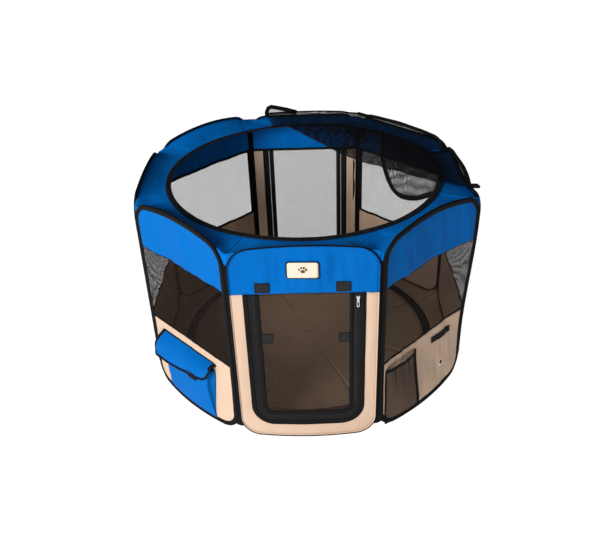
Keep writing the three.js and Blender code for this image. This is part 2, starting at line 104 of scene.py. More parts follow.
# ---------------------------------------------------------------- mesh helpers
def finish_piece(name, mesh, material, body, slot, nodes=(), smooth=True):
    obj = bpy.data.objects.new(name, mesh)
    bpy.context.scene.collection.objects.link(obj)
    mesh.materials.append(material)
    mesh.polygons.foreach_set("use_smooth", [smooth] * len(mesh.polygons))
    if body:
        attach(obj, body)
    if nodes:
        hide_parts(*nodes)
    return obj


def mesh_from(name, points, faces, corner_uvs):
    mesh = bpy.data.meshes.new(name)
    mesh.from_pydata([tuple(p) for p in points], [], faces)
    layer = mesh.uv_layers.new(name="cloth")
    flat = [value for uv in corner_uvs for value in uv]
    layer.data.foreach_set("uv", flat)
    return mesh


def face_outwards(mesh):
    work = bmesh.new()
    work.from_mesh(mesh)
    bmesh.ops.recalc_face_normals(work, faces=work.faces)
    work.to_mesh(mesh)
    work.free()


def ease(value, start=0.0, end=1.0):
    """Rises smoothly from 0 at start to 1 at end."""
    share = max(0.0, min(1.0, (value - start) / (end - start)))
    return share * share * (3 - 2 * share)


def flat_grid(width, height, columns, rows):
    """The place of a grid's (column, row) on a flat rectangle of cloth."""
    def flat(c, r):
        return width * c / (columns - 1), height * r / (rows - 1)
    return flat


def grid_mesh(name, columns, rows, point, uv):
    """point(column, row) gives a place and uv(column, row) the same place on the flat cloth."""
    points = [point(c, r) for r in range(rows) for c in range(columns)]
    faces, corner_uvs = [], []
    for r in range(rows - 1):
        for c in range(columns - 1):
            cells = ((c, r), (c + 1, r), (c + 1, r + 1), (c, r + 1))
            faces.append([row * columns + column for column, row in cells])
            corner_uvs += [uv(column, row) for column, row in cells]
    return mesh_from(name, points, faces, corner_uvs)


def finish_sheet(name, columns, rows, point, uv, way, material, body, slot, nodes=(), thickness=CLOTH):
    """A sheet of cloth with a front, a back and a cut edge. way is the direction through it."""
    half = way * (thickness / 2)
    places = [point(c, r) for r in range(rows) for c in range(columns)]
    flat = [uv(c, r) for r in range(rows) for c in range(columns)]
    faces, corner_uvs = [], []

    def add(corners, shifts):
        faces.append([corner + shift for corner, shift in zip(corners, shifts)])
        corner_uvs.extend(flat[corner] for corner in corners)

    back = columns * rows
    for r in range(rows - 1):
        for c in range(columns - 1):
            first = r * columns + c
            corners = [first, first + 1, first + 1 + columns, first + columns]
            add(corners, [0] * 4)
            add(corners[::-1], [back] * 4)
    edge = list(range(columns))
    edge += [r * columns + columns - 1 for r in range(1, rows)]
    edge += [(rows - 1) * columns + c for c in range(columns - 2, -1, -1)]
    edge += [r * columns for r in range(rows - 2, 0, -1)]
    for here, there in zip(edge, edge[1:] + edge[:1]):
        add([there, here, here, there], [0, 0, back, back])
    points = [spot + half for spot in places] + [spot - half for spot in places]
    mesh = mesh_from(name, points, faces, corner_uvs)
    face_outwards(mesh)
    piece = finish_piece(name, mesh, material, body, slot, nodes)
    for polygon in list(mesh.polygons)[-len(edge):]:
        polygon.use_smooth = False
    return piece


def swept_mesh(name, stations, section, place, closed):
    """Carries a closed section along stations. The last item of a station is its run along the path."""
    around = [0.0]
    for k, (a, b) in enumerate(section):
        c, d = section[(k + 1) % len(section)]
        around.append(around[-1] + math.hypot(c - a, d - b))
    size, count = len(section), len(stations)
    points = [place(station, a, b) for station in stations for a, b in section]
    step = stations[1][-1] - stations[0][-1]
    faces, corner_uvs = [], []
    for i in range(count if closed else count - 1):
        j = (i + 1) % count
        start = stations[i][-1]
        end = stations[j][-1] if j else stations[i][-1] + step
        for k in range(size):
            m = (k + 1) % size
            faces.append([i * size + k, j * size + k, j * size + m, i * size + m])
            corner_uvs += [(start, around[k]), (end, around[k]), (end, around[k + 1]), (start, around[k + 1])]
    if not closed:
        for first in (0, (count - 1) * size):
            faces.append([first + k for k in range(size)])
            corner_uvs += [(0.0, 0.0)] * size
    mesh = mesh_from(name, points, faces, corner_uvs)
    face_outwards(mesh)
    return mesh


def plan_mesh(name, loops, thickness, bevel, matrix):
    """A flat shape with holes, rounded at its edges: loops of (x, y), the first one outside."""
    curve = bpy.data.curves.new(name, "CURVE")
    curve.dimensions = "2D"
    curve.fill_mode = "BOTH"
    curve.extrude = thickness / 2 - bevel
    curve.bevel_depth = bevel
    curve.bevel_resolution = 2
    curve.offset = -bevel
    for loop in loops:
        spline = curve.splines.new("POLY")
        spline.points.add(len(loop) - 1)
        for point, (x, y) in zip(spline.points, loop):
            point.co = (x, y, 0, 1)
        spline.use_cyclic_u = True
    holder = bpy.data.objects.new(name, curve)
    bpy.context.scene.collection.objects.link(holder)
    graph = bpy.context.evaluated_depsgraph_get()
    mesh = bpy.data.meshes.new_from_object(holder.evaluated_get(graph))
    mesh.name = name
    bpy.data.objects.remove(holder)
    work = bmesh.new()
    work.from_mesh(mesh)
    bmesh.ops.remove_doubles(work, verts=work.verts, dist=1e-6)
    bmesh.ops.recalc_face_normals(work, faces=work.faces)
    layer = work.loops.layers.uv.verify()
    for face in work.faces:
        for loop in face.loops:
            loop[layer].uv = loop.vert.co.xy
    work.to_mesh(mesh)
    work.free()
    mesh.uv_layers[0].name = "cloth"
    mesh.transform(matrix)
    return mesh


def rounded_loop(left, bottom, right, top, radius, steps=6):
    """The corners of a rounded rectangle, counter-clockwise."""
    loop = []
    centres = ((right, bottom, -90), (right, top, 0), (left, top, 90), (left, bottom, 180))
    for x, y, start in centres:
        cx = x - math.copysign(radius, x - (left + right) / 2)
        cy = y - math.copysign(radius, y - (bottom + top) / 2)
        for k in range(steps + 1):
            angle = math.radians(start + 90 * k / steps)
            loop.append((cx + radius * math.cos(angle), cy + radius * math.sin(angle)))
    return loop


def oval_loop(x, y, half_x, half_y, turn=0.0, steps=24):
    loop = []
    for k in range(steps):
        angle = math.tau * k / steps
        a, b = half_x * math.cos(angle), half_y * math.sin(angle)
        across = x + a * math.cos(turn) - b * math.sin(turn)
        loop.append((across, y + a * math.sin(turn) + b * math.cos(turn)))
    return loop


# ---------------------------------------------------------------- places on a wall
def wall_axes(index):
    angle = index * STEP
    along = Vector((math.cos(angle), math.sin(angle), 0))
    out = Vector((math.sin(angle), -math.cos(angle), 0))
    return along, out


def has_door(index):
    return WALLS[index] in ("front", "back")


def direction(index, angle):
    """Outwards from the middle of the pen, turned by an angle from a wall's own direction."""
    turn = index * STEP + angle
    return Vector((math.sin(turn), -math.cos(turn), 0))


def wall_arch(index, u, z):
    """How much a slack hoop's top bows up above its corners, or sags between them."""
    rise = ARCH.get(WALLS[index], 0.0)
    middle = 1 - min(1.0, abs(u / HALF_WIDTH)) ** (2 if rise > 0 else 4)
    return rise * middle * ease(z, BAND_EDGE - 40 * MM, HEIGHT)


def wall_bow(index, u, z):
    """How far a wall's foot bellies outwards between its corners."""
    reach = 115 * MM if has_door(index) else 200 * MM
    return BOW.get(WALLS[index], 0.0) * (1 - min(1.0, (u / HALF_WIDTH) ** 2)) * (1 - ease(z, 0, reach))


def corner_lean(index, u, z):
    """One corner's top leans outwards and takes the edges of its two walls along."""
    corner = WALLS.index(LEANING)
    side = {corner: 1, corner + 1: -1}.get(index)
    if side is None:
        return Vector((0, 0, 0))
    share = ease(side * u, 0, HALF_WIDTH) * ease(z, LOWER_EDGE - 90 * MM, BAND_EDGE + 60 * MM)
    return direction(corner, STEP / 2) * (LEAN * share)


def on_wall(index, u, z, out=0.0):
    """A point u along a wall, at a height, and out from its middle plane."""
    along, outwards = wall_axes(index)
    spot = along * u + outwards * (APOTHEM + out + wall_bow(index, u, z))
    return spot + UP * (z + wall_arch(index, u, z)) + corner_lean(index, u, z)


def wall_matrix(index, u, z, out):
    """Takes a plan shape's x along the wall, its y up and its z outwards."""
    along, outwards = wall_axes(index)
    matrix = Matrix((along, UP, outwards)).transposed().to_4x4()
    matrix.translation = on_wall(index, u, z, out)
    return matrix


def soft_noise(x, y, seed):
    return noise.noise(Vector((x, y, seed * 7.31)))


def body_of(wall):
    return f"{wall}_wall"


def cloth_half_width(z, inset=TUCK):
    """Half the width of a wall's cloth at a height, inside the rounded corners."""
    radius = CORNER_RADIUS - inset
    straight = HALF_WIDTH - CORNER_RADIUS
    beyond = max(CORNER_RADIUS - z, z - (HEIGHT - CORNER_RADIUS), 0)
    return straight + math.sqrt(max(radius**2 - beyond**2, 0))


# ---------------------------------------------------------------- materials
def new_material(name):
    material = bpy.data.materials.new(name)
    material.use_nodes = True
    tree = material.node_tree
    shader = tree.nodes["Principled BSDF"]
    return material, tree, shader


def add_node(tree, kind, inputs=(), **settings):
    made = tree.nodes.new(kind)
    for key, value in settings.items():
        setattr(made, key, value)
    for socket, value in dict(inputs).items():
        if isinstance(value, bpy.types.NodeSocket):
            tree.links.new(value, made.inputs[socket])
        else:
            made.inputs[socket].default_value = value
    return made


def calc(tree, operation, *values):
    return add_node(tree, "ShaderNodeMath", enumerate(values), operation=operation).outputs[0]


def cloth_xy(tree):
    uv = add_node(tree, "ShaderNodeUVMap", uv_map="cloth")
    split = add_node(tree, "ShaderNodeSeparateXYZ", {0: uv.outputs[0]})
    return split.outputs[0], split.outputs[1]


def place(tree):
    return add_node(tree, "ShaderNodeTexCoord").outputs["Object"]


def cloud(tree, scale, detail=3.0):
    inputs = {"Vector": place(tree), "Scale": scale, "Detail": detail, "Roughness": 0.55}
    return add_node(tree, "ShaderNodeTexNoise", inputs).outputs["Fac"]


def wave(tree, value, pitch):
    """A sine from 0 to 1 along a length, one turn every pitch."""
    turned = calc(tree, "MULTIPLY", value, math.tau / pitch)
    return calc(tree, "MULTIPLY_ADD", calc(tree, "SINE", turned), 0.5, 0.5)


def remap(tree, value, low, high, to_low, to_high):
    inputs = {0: value, 1: low, 2: high, 3: to_low, 4: to_high}
    return add_node(tree, "ShaderNodeMapRange", inputs).outputs[0]


def blend_colour(tree, share, dark, light):
    made = add_node(tree, "ShaderNodeMix", data_type="RGBA")
    for socket, value in ((made.inputs[0], share), (made.inputs[6], dark), (made.inputs[7], light)):
        if isinstance(value, bpy.types.NodeSocket):
            tree.links.new(value, socket)
        else:
            socket.default_value = value if isinstance(value, float) else (*value, 1.0)
    return made.outputs[2]


def shaded(colour, factor):
    return tuple(min(1.0, channel * factor) for channel in colour)


def weave_height(tree, pitch):
    """A plain weave: warp and weft threads that pass over each other in turn."""
    x, y = cloth_xy(tree)
    warp = wave(tree, x, pitch)
    weft = wave(tree, y, pitch)
    over = calc(tree, "MULTIPLY", wave(tree, x, 2 * pitch), wave(tree, y, 2 * pitch))
    ribs = calc(tree, "MAXIMUM", calc(tree, "MULTIPLY", warp, 0.8), weft)
    return calc(tree, "MULTIPLY_ADD", over, 0.6, calc(tree, "MULTIPLY", ribs, 0.5))


def stitch_row(tree, where, length=2.6 * MM, width=0.45 * MM):
    """A row of stitches along the cloth's x at the distance where on its y, as a mask."""
    x, y = cloth_xy(tree)
    away = calc(tree, "ABSOLUTE", calc(tree, "SUBTRACT", y, where))
    band = calc(tree, "LESS_THAN", away, width)
    dash = calc(tree, "GREATER_THAN", wave(tree, x, length), 0.32)
    return calc(tree, "MULTIPLY", band, dash)


def finish_surface(tree, shader, tint, rough, specular, relief, strength, depth, sunk=False):
    """Joins colour, roughness and relief to a shader. sunk turns the relief inside out."""
    tree.links.new(tint, shader.inputs["Base Color"])
    tree.links.new(rough, shader.inputs["Roughness"])
    shader.inputs["Specular IOR Level"].default_value = specular
    bump = add_node(tree, "ShaderNodeBump", {"Height": relief, "Strength": strength, "Distance": depth})
    bump.invert = sunk
    tree.links.new(bump.outputs[0], shader.inputs["Normal"])


def woven(name, colour, pitch=0.9 * MM, contrast=0.16, roughness=0.72, sheen=0.0, stitches=(), thread=None):
    """Woven cloth: thread relief, soft uneven dye, painted shade in the hollows of the weave, faint creases
    and rows of stitches.
    """
    material, tree, shader = new_material(name)
    height = weave_height(tree, pitch)
    dye, rub = cloud(tree, 14.0), cloud(tree, 160.0, 2.0)
    # The weave's height also lightens the tint on the raised threads and darkens it in the hollows between
    # them: painted shade.
    share = calc(tree, "ADD", calc(tree, "MULTIPLY", dye, 0.55), calc(tree, "MULTIPLY", height, 0.3))
    share = calc(tree, "MULTIPLY_ADD", rub, 0.2, share)
    tint = blend_colour(tree, share, shaded(colour, 1 - contrast), shaded(colour, 1 + contrast))
    relief = calc(tree, "MULTIPLY_ADD", rub, 0.5, height)
    for where in stitches:
        row = stitch_row(tree, where)
        tint = blend_colour(tree, row, tint, thread or shaded(colour, 0.45))
        relief = calc(tree, "MULTIPLY_ADD", row, 1.6, relief)
    worn = calc(tree, "MULTIPLY_ADD", rub, 0.5, calc(tree, "MULTIPLY", height, 0.5))
    rough = remap(tree, worn, 0.2, 1.0, roughness - 0.08, roughness + 0.12)
    finish_surface(tree, shader, tint, rough, 0.04, relief, 0.35, 0.25 * MM)
    shader.inputs["Sheen Weight"].default_value = sheen
    shader.inputs["Sheen Roughness"].default_value = 0.5
    return material


def netting(name, colour, pitch=1.9 * MM, closed=0.0, roughness=0.7):
    """Knitted mesh: a lattice of threads round open holes. closed above 0 makes the holes smaller."""
    material, tree, shader = new_material(name)
    x, y = cloth_xy(tree)
    turn = math.tau / pitch
    waves = []
    for angle in (0, 60, 120):
        a, b = math.cos(math.radians(angle)) * turn, math.sin(math.radians(angle)) * turn
        phase = calc(tree, "MULTIPLY_ADD", y, b, calc(tree, "MULTIPLY", x, a))
        waves.append(calc(tree, "COSINE", phase))
    lattice = calc(tree, "ADD", calc(tree, "ADD", waves[0], waves[1]), waves[2])
    solid = remap(tree, lattice, -0.45 + closed, -0.05 + closed, 1.0, 0.0)
    tree.links.new(solid, shader.inputs["Alpha"])
    tint = blend_colour(tree, cloud(tree, 60.0, 2.0), shaded(colour, 0.7), shaded(colour, 1.4))
    rough = remap(tree, lattice, -1.5, 0.5, roughness - 0.1, roughness + 0.1)
    finish_surface(tree, shader, tint, rough, 0.02, lattice, 0.5, 0.3 * MM, sunk=True)
    return material


def metal(name, colour, roughness=0.24):
    """Plated metal with faint wear and fine scratches."""
    material, tree, shader = new_material(name)
    wear = cloud(tree, 420.0, 4.0)
    tint = blend_colour(tree, wear, shaded(colour, 0.82), shaded(colour, 1.08))
    rough = remap(tree, wear, 0.3, 0.7, roughness - 0.06, roughness + 0.14)
    finish_surface(tree, shader, tint, rough, 0.5, wear, 0.12, 0.1 * MM)
    shader.inputs["Metallic"].default_value = 1.0
    return material


def hook_pile(name, colour):
    """Hook-and-loop tape: a short dark pile of tiny hooks, with painted highlights on their tips and painted
    shade between them.
    """
    material, tree, shader = new_material(name)
    texture = add_node(tree, "ShaderNodeTexVoronoi", {"Vector": place(tree), "Scale": 1400.0})
    cells = texture.outputs["Distance"]
    # Painted highlight and shade: the tint is lighter on the raised hooks and darker in the hollows between
    # them.
    tint = blend_colour(tree, cells, shaded(colour, 2.2), shaded(colour, 0.5))
    rough = remap(tree, cells, 0, 0.6, 0.75, 0.95)
    finish_surface(tree, shader, tint, rough, 0.12, cells, 0.9, 0.4 * MM, sunk=True)
    return material


BLUE = (0.0, 0.115, 0.41)
BEIGE = (0.60, 0.43, 0.315)
BLACK = (0.007, 0.007, 0.0075)

M_BLUE = woven("blue_oxford", BLUE)
# The roof ring is the walls' blue cloth painted 1.25 times lighter, painted light that lifts the shade on its
# top.
M_RING_LIGHTENED = woven("blue_oxford_roof", shaded(BLUE, 1.25))
M_BEIGE = woven("beige_oxford", BEIGE, contrast=0.1)
M_FLOOR = woven("floor_oxford", (0.56, 0.40, 0.26), pitch=1.2 * MM, contrast=0.12)
M_BINDING = woven("black_binding", BLACK, pitch=1.1 * MM, contrast=0.35, roughness=0.7,
                  stitches=(15.2 * MM, 22.6 * MM), thread=(0.03, 0.03, 0.031))
M_TAPE = woven("zip_tape", (0.013, 0.013, 0.014), pitch=0.8 * MM, contrast=0.3, roughness=0.75)
M_WEBBING = woven("webbing", (0.014, 0.014, 0.015), pitch=1.6 * MM, contrast=0.4, roughness=0.7)
M_COIL = woven("zip_coil", (0.02, 0.02, 0.021), pitch=0.5 * MM, roughness=0.38)
M_NET = netting("window_net", (0.015, 0.010, 0.008))
M_SIDE_NET = netting("side_window_net", (0.015, 0.010, 0.008), closed=1.15)
M_DOOR_NET = netting("door_net", (0.052, 0.033, 0.025), closed=0.12)
M_POCKET_NET = netting("pocket_net", (0.013, 0.009, 0.007), closed=0.3)
M_COVER = netting("cover_net", (0.009, 0.009, 0.010), pitch=1.7 * MM, closed=0.8)
M_HOOK = hook_pile("hook_and_loop", (0.016, 0.016, 0.017))
M_METAL = metal("zip_plating", (0.74, 0.75, 0.77))
M_WIRE = metal("sprung_steel", (0.55, 0.56, 0.58), 0.35)
M_EYELET = metal("eyelet_plating", (0.86, 0.82, 0.76), 0.6)
M_LABEL = woven("label_weave", (0.76, 0.62, 0.50), pitch=0.6 * MM, contrast=0.08, sheen=0.05)
M_PRINT = woven("label_print", (0.10, 0.05, 0.03), pitch=0.6 * MM, contrast=0.2, sheen=0.05)


# ---------------------------------------------------------------- hoops and their sleeves
def hoop_stations(corner_steps=12, spacing=14 * MM):
    """Round a wall's edge: (corner centre along, its height, angle, run)."""
    across = HALF_WIDTH - CORNER_RADIUS
    high, low = HEIGHT - CORNER_RADIUS, CORNER_RADIUS
    centres = [(across, high), (-across, high), (-across, low), (across, low)]
    stations, run = [], 0.0
    for corner, (u, z) in enumerate(centres):
        for k in range(corner_steps + 1):
            angle = (corner + k / corner_steps) * math.pi / 2
            stations.append((u, z, angle, run))
            run += CORNER_RADIUS * math.pi / 2 / corner_steps if k < corner_steps else 0.0
        next_u, next_z = centres[(corner + 1) % 4]
        length = math.hypot(next_u - u, next_z - z)
        pieces = round(length / spacing)
        for k in range(1, pieces):
            share = k / pieces
            angle = (corner + 1) * math.pi / 2
            spot = (u + (next_u - u) * share, z + (next_z - z) * share)
            stations.append((*spot, angle, run + length * share))
        run += length
    return stations


def sleeve_section(width):
    """(inset, depth) round the folded tape: full over the wire, and stitched flat on the wall's outside."""
    outside = [(0.1, 0.0), (0.5, 1.7), (1.7, 3.0), (3.8, 3.5), (5.6, 2.9)]
    inside = [(6.2, -0.9), (5.9, -2.0), (5.2, -2.9), (3.8, -3.5), (1.7, -3.0), (0.5, -1.7)]
    flange = [(6.2, 1.4)]
    if width > 10 * MM:
        flange = [(8.4, 2.0), (width / MM - 0.4, 1.8), (width / MM, 1.0), (6.8, 0.4)]
    return [(a * MM, b * MM) for a, b in outside + flange + inside]


def sleeve_place(index):
    def at(station, inset, depth):
        u, z, angle, run = station
        pucker = 1 + 0.09 * soft_noise(run * 90, depth * 200, index) + 0.04 * math.sin(run * 900)
        radius = CORNER_RADIUS - inset * (1 + 0.05 * soft_noise(run * 40, 3, index))
        return on_wall(index, u + radius * math.cos(angle), z + radius * math.sin(angle), depth * pucker)
    return at


def add_sleeve(index, wall):
    if wall == "front":
        add_plain_sleeve(index, wall)
        return
    section = sleeve_section(BINDING_WIDTH)
    mesh = swept_mesh(f"binding_{wall}", hoop_stations(), section, sleeve_place(index), closed=True)
    finish_piece(mesh.name, mesh, M_BINDING, body_of(wall), "binding", [f"sleeve_{wall}"])


def add_plain_sleeve(index, wall):
    """The wall's own cloth folded over the wire: blue above and beige below, with a dark piped edge."""
    stations = hoop_stations()
    total = stations[-1][-1] + stations[1][-1]
    high = [z + CORNER_RADIUS * math.sin(angle) >= BAND_EDGE + 7 * MM for _, z, angle, _ in stations]
    first_low, last_low = high.index(False), len(high) - 1 - high[::-1].index(False)
    above = [(u, z, angle, run - total) for u, z, angle, run in stations[last_low:]]
    above += stations[:first_low + 1]
    below = stations[first_low:last_low + 1]
    section = sleeve_section(SLEEVE_WIDTH)
    parts = (("above", above, M_BLUE, "blue_oxford"), ("below", below, M_BEIGE, "beige_oxford"))
    for part, path, material, slot in parts:
        mesh = swept_mesh(f"sleeve_cloth_{part}", path, section, sleeve_place(index), closed=False)
        finish_piece(mesh.name, mesh, material, body_of(wall), slot, [f"sleeve_{wall}"])
    cord = oval_loop(1.8 * MM, 2.4 * MM, 1.8 * MM, 3.2 * MM, steps=10)
    mesh = swept_mesh(f"piping_{wall}", stations, cord, sleeve_place(index), closed=True)
    finish_piece(mesh.name, mesh, M_BINDING, body_of(wall), "binding")


def add_wire(index, wall):
    """The sprung hoop that the sleeve holds."""
    def at(station, across, depth):
        u, z, angle, _ = station
        radius = CORNER_RADIUS - WIRE_INSET + across
        return on_wall(index, u + radius * math.cos(angle), z + radius * math.sin(angle), depth)

    section = oval_loop(0, 0, WIRE_RADIUS, WIRE_RADIUS, steps=10)
    mesh = swept_mesh(f"hoop_{wall}", hoop_stations(), section, at, closed=True)
    finish_piece(mesh.name, mesh, M_WIRE, body_of(wall), "wire", [f"wire_{wall}"])


# ---------------------------------------------------------------- cloth of the walls
def wall_relief(index, u, z):
    """How far a wall's cloth stands out of its middle plane. It is flat at the sleeves and round a door."""
    foot = BAND_EDGE if has_door(index) else TUCK
    rise = max(0.0, min(1.0, (z - foot) / (26 * MM), (HEIGHT - TUCK - z) / (26 * MM)))
    across = min(1.0, abs(u) / cloth_half_width(z))
    up_window = max(0.0, min(1.0, (z - LOWER_EDGE) / (BAND_EDGE - LOWER_EDGE)))
    depth = 5 * MM if has_door(index) else (5 + 2.5 * math.sin(math.pi * up_window)) * MM
    if WALLS[index] == "front_left":
        depth *= 0.25 + 0.75 * ease(z, 205 * MM, 260 * MM)
    belly = soft_noise(u * 5, z * 5, index)
    slant = u * 24 + z * 9 * (1 if index % 2 else -1)
    creases = soft_noise(slant, z * 5, index + 3) + 0.6 * soft_noise(u * 62, z * 12, index + 5)
    return depth * (1 - across**6) * rise * (0.5 * belly + 0.85 * creases)


def on_cloth(index, u, z, out=0.0):
    return on_wall(index, u, z, out + wall_relief(index, u, z))


def lay_on_cloth(mesh, index):
    """Moves a flat shape's points out and in with the cloth that it is sewn to."""
    along, outwards = wall_axes(index)
    for vertex in mesh.vertices:
        vertex.co += outwards * wall_relief(index, vertex.co.dot(along), vertex.co.z)
    return mesh


def wall_grid(low, high, columns, rows):
    """Spreads a grid across a wall between two heights."""
    def spot(c, r):
        z = low + (high - low) * r / (rows - 1)
        return cloth_half_width(z) * (2 * c / (columns - 1) - 1), z
    return spot


def add_band(name, index, wall, low, high, material, slot, nodes):
    """A band of cloth between two heights."""
    columns, rows = 61, 29
    spot = wall_grid(low, high, columns, rows)

    def at(c, r):
        return on_cloth(index, *spot(c, r), 0.3 * MM)

    outwards = wall_axes(index)[1]
    piece = finish_sheet(name, columns, rows, at, spot, outwards, material, body_of(wall), slot, nodes)


def add_net(name, index, wall, low, high, nodes):
    columns, rows = 41, 31
    spot = wall_grid(low, high, columns, rows)

    def at(c, r):
        return on_cloth(index, *spot(c, r), -0.6 * MM)

    mesh = grid_mesh(name, columns, rows, at, spot)
    material = M_SIDE_NET if wall in ("right", "left") else M_NET
    piece = finish_piece(name, mesh, material, body_of(wall), "net", nodes)


def add_seam_tape(index, wall, z, name):
    """The tape that covers a seam on the inside of a wall."""
    steps = 30
    outwards = wall_axes(index)[1]
    path = []
    for k in range(steps + 1):
        u = cloth_half_width(z) * (2 * k / steps - 1)
        path.append(on_cloth(index, u, z + 1.6 * MM * soft_noise(u * 14, 0, index + 9), -1.7 * MM))
    tape_along(f"{name}_{wall}", path, SEAM_TAPE, 1.2 * MM, body_of(wall), -outwards)


def add_window_wall(index, wall):
    overlap = 4 * MM
    net_name, cloth_name = f"window_net_{wall}", f"lower_cloth_{wall}"
    add_net(net_name, index, wall, LOWER_EDGE - overlap, BAND_EDGE + overlap, [f"window_{wall}"])
    add_band(cloth_name, index, wall, TUCK, LOWER_EDGE, M_BEIGE, "beige_oxford", [f"lower_band_{wall}"])
    add_seam_tape(index, wall, LOWER_EDGE, "lower_seam")


def add_corner(index):
    """The cloth hinge between two hoops. It widens into the notch under their rounded corners."""
    wall, after = WALLS[index], (index + 1) % len(WALLS)
    columns, rows = 7, 45
    low, high = NOTCH_LOW, NOTCH_Z + 5 * MM

    def at(c, r):
        z = low + (high - low) * r / (rows - 1)
        reach = cloth_half_width(z, 3 * MM)
        share = c / (columns - 1)
        spot = on_wall(index, reach, z).lerp(on_wall(after, -reach, z), share)
        bow = 0.7 * (PITCH / 2 - reach) * math.sin(STEP / 2) * math.sin(math.pi * share)
        return spot + direction(index, HALF_STEP) * bow

    flat = flat_grid(12 * MM, high - low, columns, rows)
    mesh = grid_mesh(f"corner_hinge_{wall}", columns, rows, at, flat)
    if wall == OPEN_CORNER:
        finish_piece(mesh.name, mesh, M_BINDING, body_of(wall), "binding")
        return
    hinge = finish_piece(mesh.name, mesh, M_BINDING, None, "binding")
    middle = HEIGHT / 2
    ends = on_wall(index, HALF_WIDTH - 1 * MM, middle), on_wall(after, 1 * MM - HALF_WIDTH, middle)
    body_of(wall)
    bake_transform(hinge)


# ---------------------------------------------------------------- doors
def door_stations(offset, corner_steps=12, spacing=10 * MM):
    """Down the door's left side, round its bottom and up: (u, z, angle outwards, run)."""
    low = DOOR_LOW[2]
    top = BAND_EDGE
    across, corner_z = DOOR_HALF - DOOR_RADIUS, low + DOOR_RADIUS
    stations, run = [], 0.0
    side_steps = round((top - corner_z) / spacing)
    for k in range(side_steps):
        z = top + (corner_z - top) * k / side_steps
        stations.append((-across, z, math.pi, run + (top - z)))
    run += top - corner_z
    arc = (DOOR_RADIUS + offset) * math.pi / 2
    for k in range(corner_steps + 1):
        angle = math.pi * (1 + k / corner_steps / 2)
        stations.append((-across, corner_z, angle, run + arc * k / corner_steps))
    run += arc
    base_steps = round(2 * across / spacing)
    for k in range(1, base_steps):
        u = -across + 2 * across * k / base_steps
        stations.append((u, corner_z, math.pi * 1.5, run + u + across))
    run += 2 * across
    for k in range(corner_steps + 1):
        angle = math.pi * (1.5 + k / corner_steps / 2)
        stations.append((across, corner_z, angle, run + arc * k / corner_steps))
    run += arc
    for k in range(1, side_steps + 1):
        z = corner_z + (top - corner_z) * k / side_steps
        stations.append((across, z, math.tau, run + z - corner_z))
    return stations


def door_place(index):
    """Puts a section point (outwards from the door's edge, depth) at a station."""
    def at(station, outward, depth):
        u, z, angle, run = station
        ripple = DOOR_RIPPLE * soft_noise(run * 45, 0, index + 11)
        radius = DOOR_RADIUS + outward
        return on_wall(index, u + radius * math.cos(angle), z + radius * math.sin(angle), depth + ripple)
    return at


def flat_section(inner, outer, depth, half_thickness):
    """A thin tape's section with softened edges."""
    rim = half_thickness * 0.6
    low, high = depth - half_thickness, depth + half_thickness
    return [(inner, depth - rim), (inner + rim, low), (outer - rim, low), (outer, depth - rim),
            (outer, depth + rim), (outer - rim, high), (inner + rim, high), (inner, depth + rim)]


def coil_mesh(name, stations, place_at, centre, depth, shift):
    """A zip's coil: a bead that swells at every tooth."""
    fine = []
    for first, second in zip(stations, stations[1:]):
        length = second[-1] - first[-1]
        pieces = max(1, round(length / (TOOTH_PITCH / 4)))
        for k in range(pieces):
            share = k / pieces
            fine.append(tuple(a + (b - a) * share for a, b in zip(first, second)))
    fine.append(stations[-1])
    section = []
    for k in range(6):
        angle = math.tau * k / 6
        section.append((COIL_RADIUS * math.cos(angle), COIL_RADIUS * math.sin(angle)))

    def at(station, a, b):
        swell = 0.8 + 0.28 * math.cos(math.tau * (station[-1] / TOOTH_PITCH + shift))
        return place_at(station, centre + a * swell, depth + b * swell)

    return swept_mesh(name, fine, section, at, closed=False)


def add_tape(name, stations, section, place_at, material, body, nodes=()):
    """A zip's tape or its binding."""
    mesh = swept_mesh(name, stations, section, place_at, closed=False)
    return finish_piece(name, mesh, material, body, "zip_tape", nodes)


def add_coil(name, stations, place_at, centre, depth, shift, body):
    mesh = coil_mesh(name, stations, place_at, centre, depth, shift)
    return finish_piece(name, mesh, M_COIL, body, "zip_tape")


def add_door_surround(index, wall):
    """The cloth between the zip and the sleeve. Its two edges run round together."""
    inner = door_stations(0)
    rows = 9
    zip_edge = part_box("door_zip_front")[1][0] - DOOR_HALF - 3 * MM
    outer_across = HALF_WIDTH - CORNER_RADIUS
    inner_across, corner_z = DOOR_HALF - DOOR_RADIUS, DOOR_LOW[2] + DOOR_RADIUS

    def outer_point(station):
        u, z, angle, _ = station
        centre_u = u * outer_across / inner_across
        share = (BAND_EDGE - z) / (BAND_EDGE - corner_z)
        centre_z = BAND_EDGE + (CORNER_RADIUS - BAND_EDGE) * share
        radius = CORNER_RADIUS - TUCK
        return centre_u + radius * math.cos(angle), centre_z + radius * math.sin(angle)

    def flat(c, r):
        u, z, angle, _ = inner[c]
        radius = DOOR_RADIUS + zip_edge
        near = (u + radius * math.cos(angle), z + radius * math.sin(angle))
        far = outer_point(inner[c])
        share = 1 - r / (rows - 1)
        return near[0] + (far[0] - near[0]) * share, near[1] + (far[1] - near[1]) * share

    def at(c, r):
        u, z = flat(c, r)
        share = r / (rows - 1)
        crease = 0.6 + soft_noise(u * 26, z * 7, index) + 0.5 * soft_noise(u * 60, z * 20, index + 1)
        return on_wall(index, u, z, 0.3 * MM + 1.9 * MM * math.sin(math.pi * share) * crease)

    name = f"door_surround_cloth_{wall}"
    piece = finish_sheet(name, len(inner), rows, at, flat, wall_axes(index)[1], M_BEIGE, body_of(wall),
                         "beige_oxford", [f"door_surround_{wall}"])


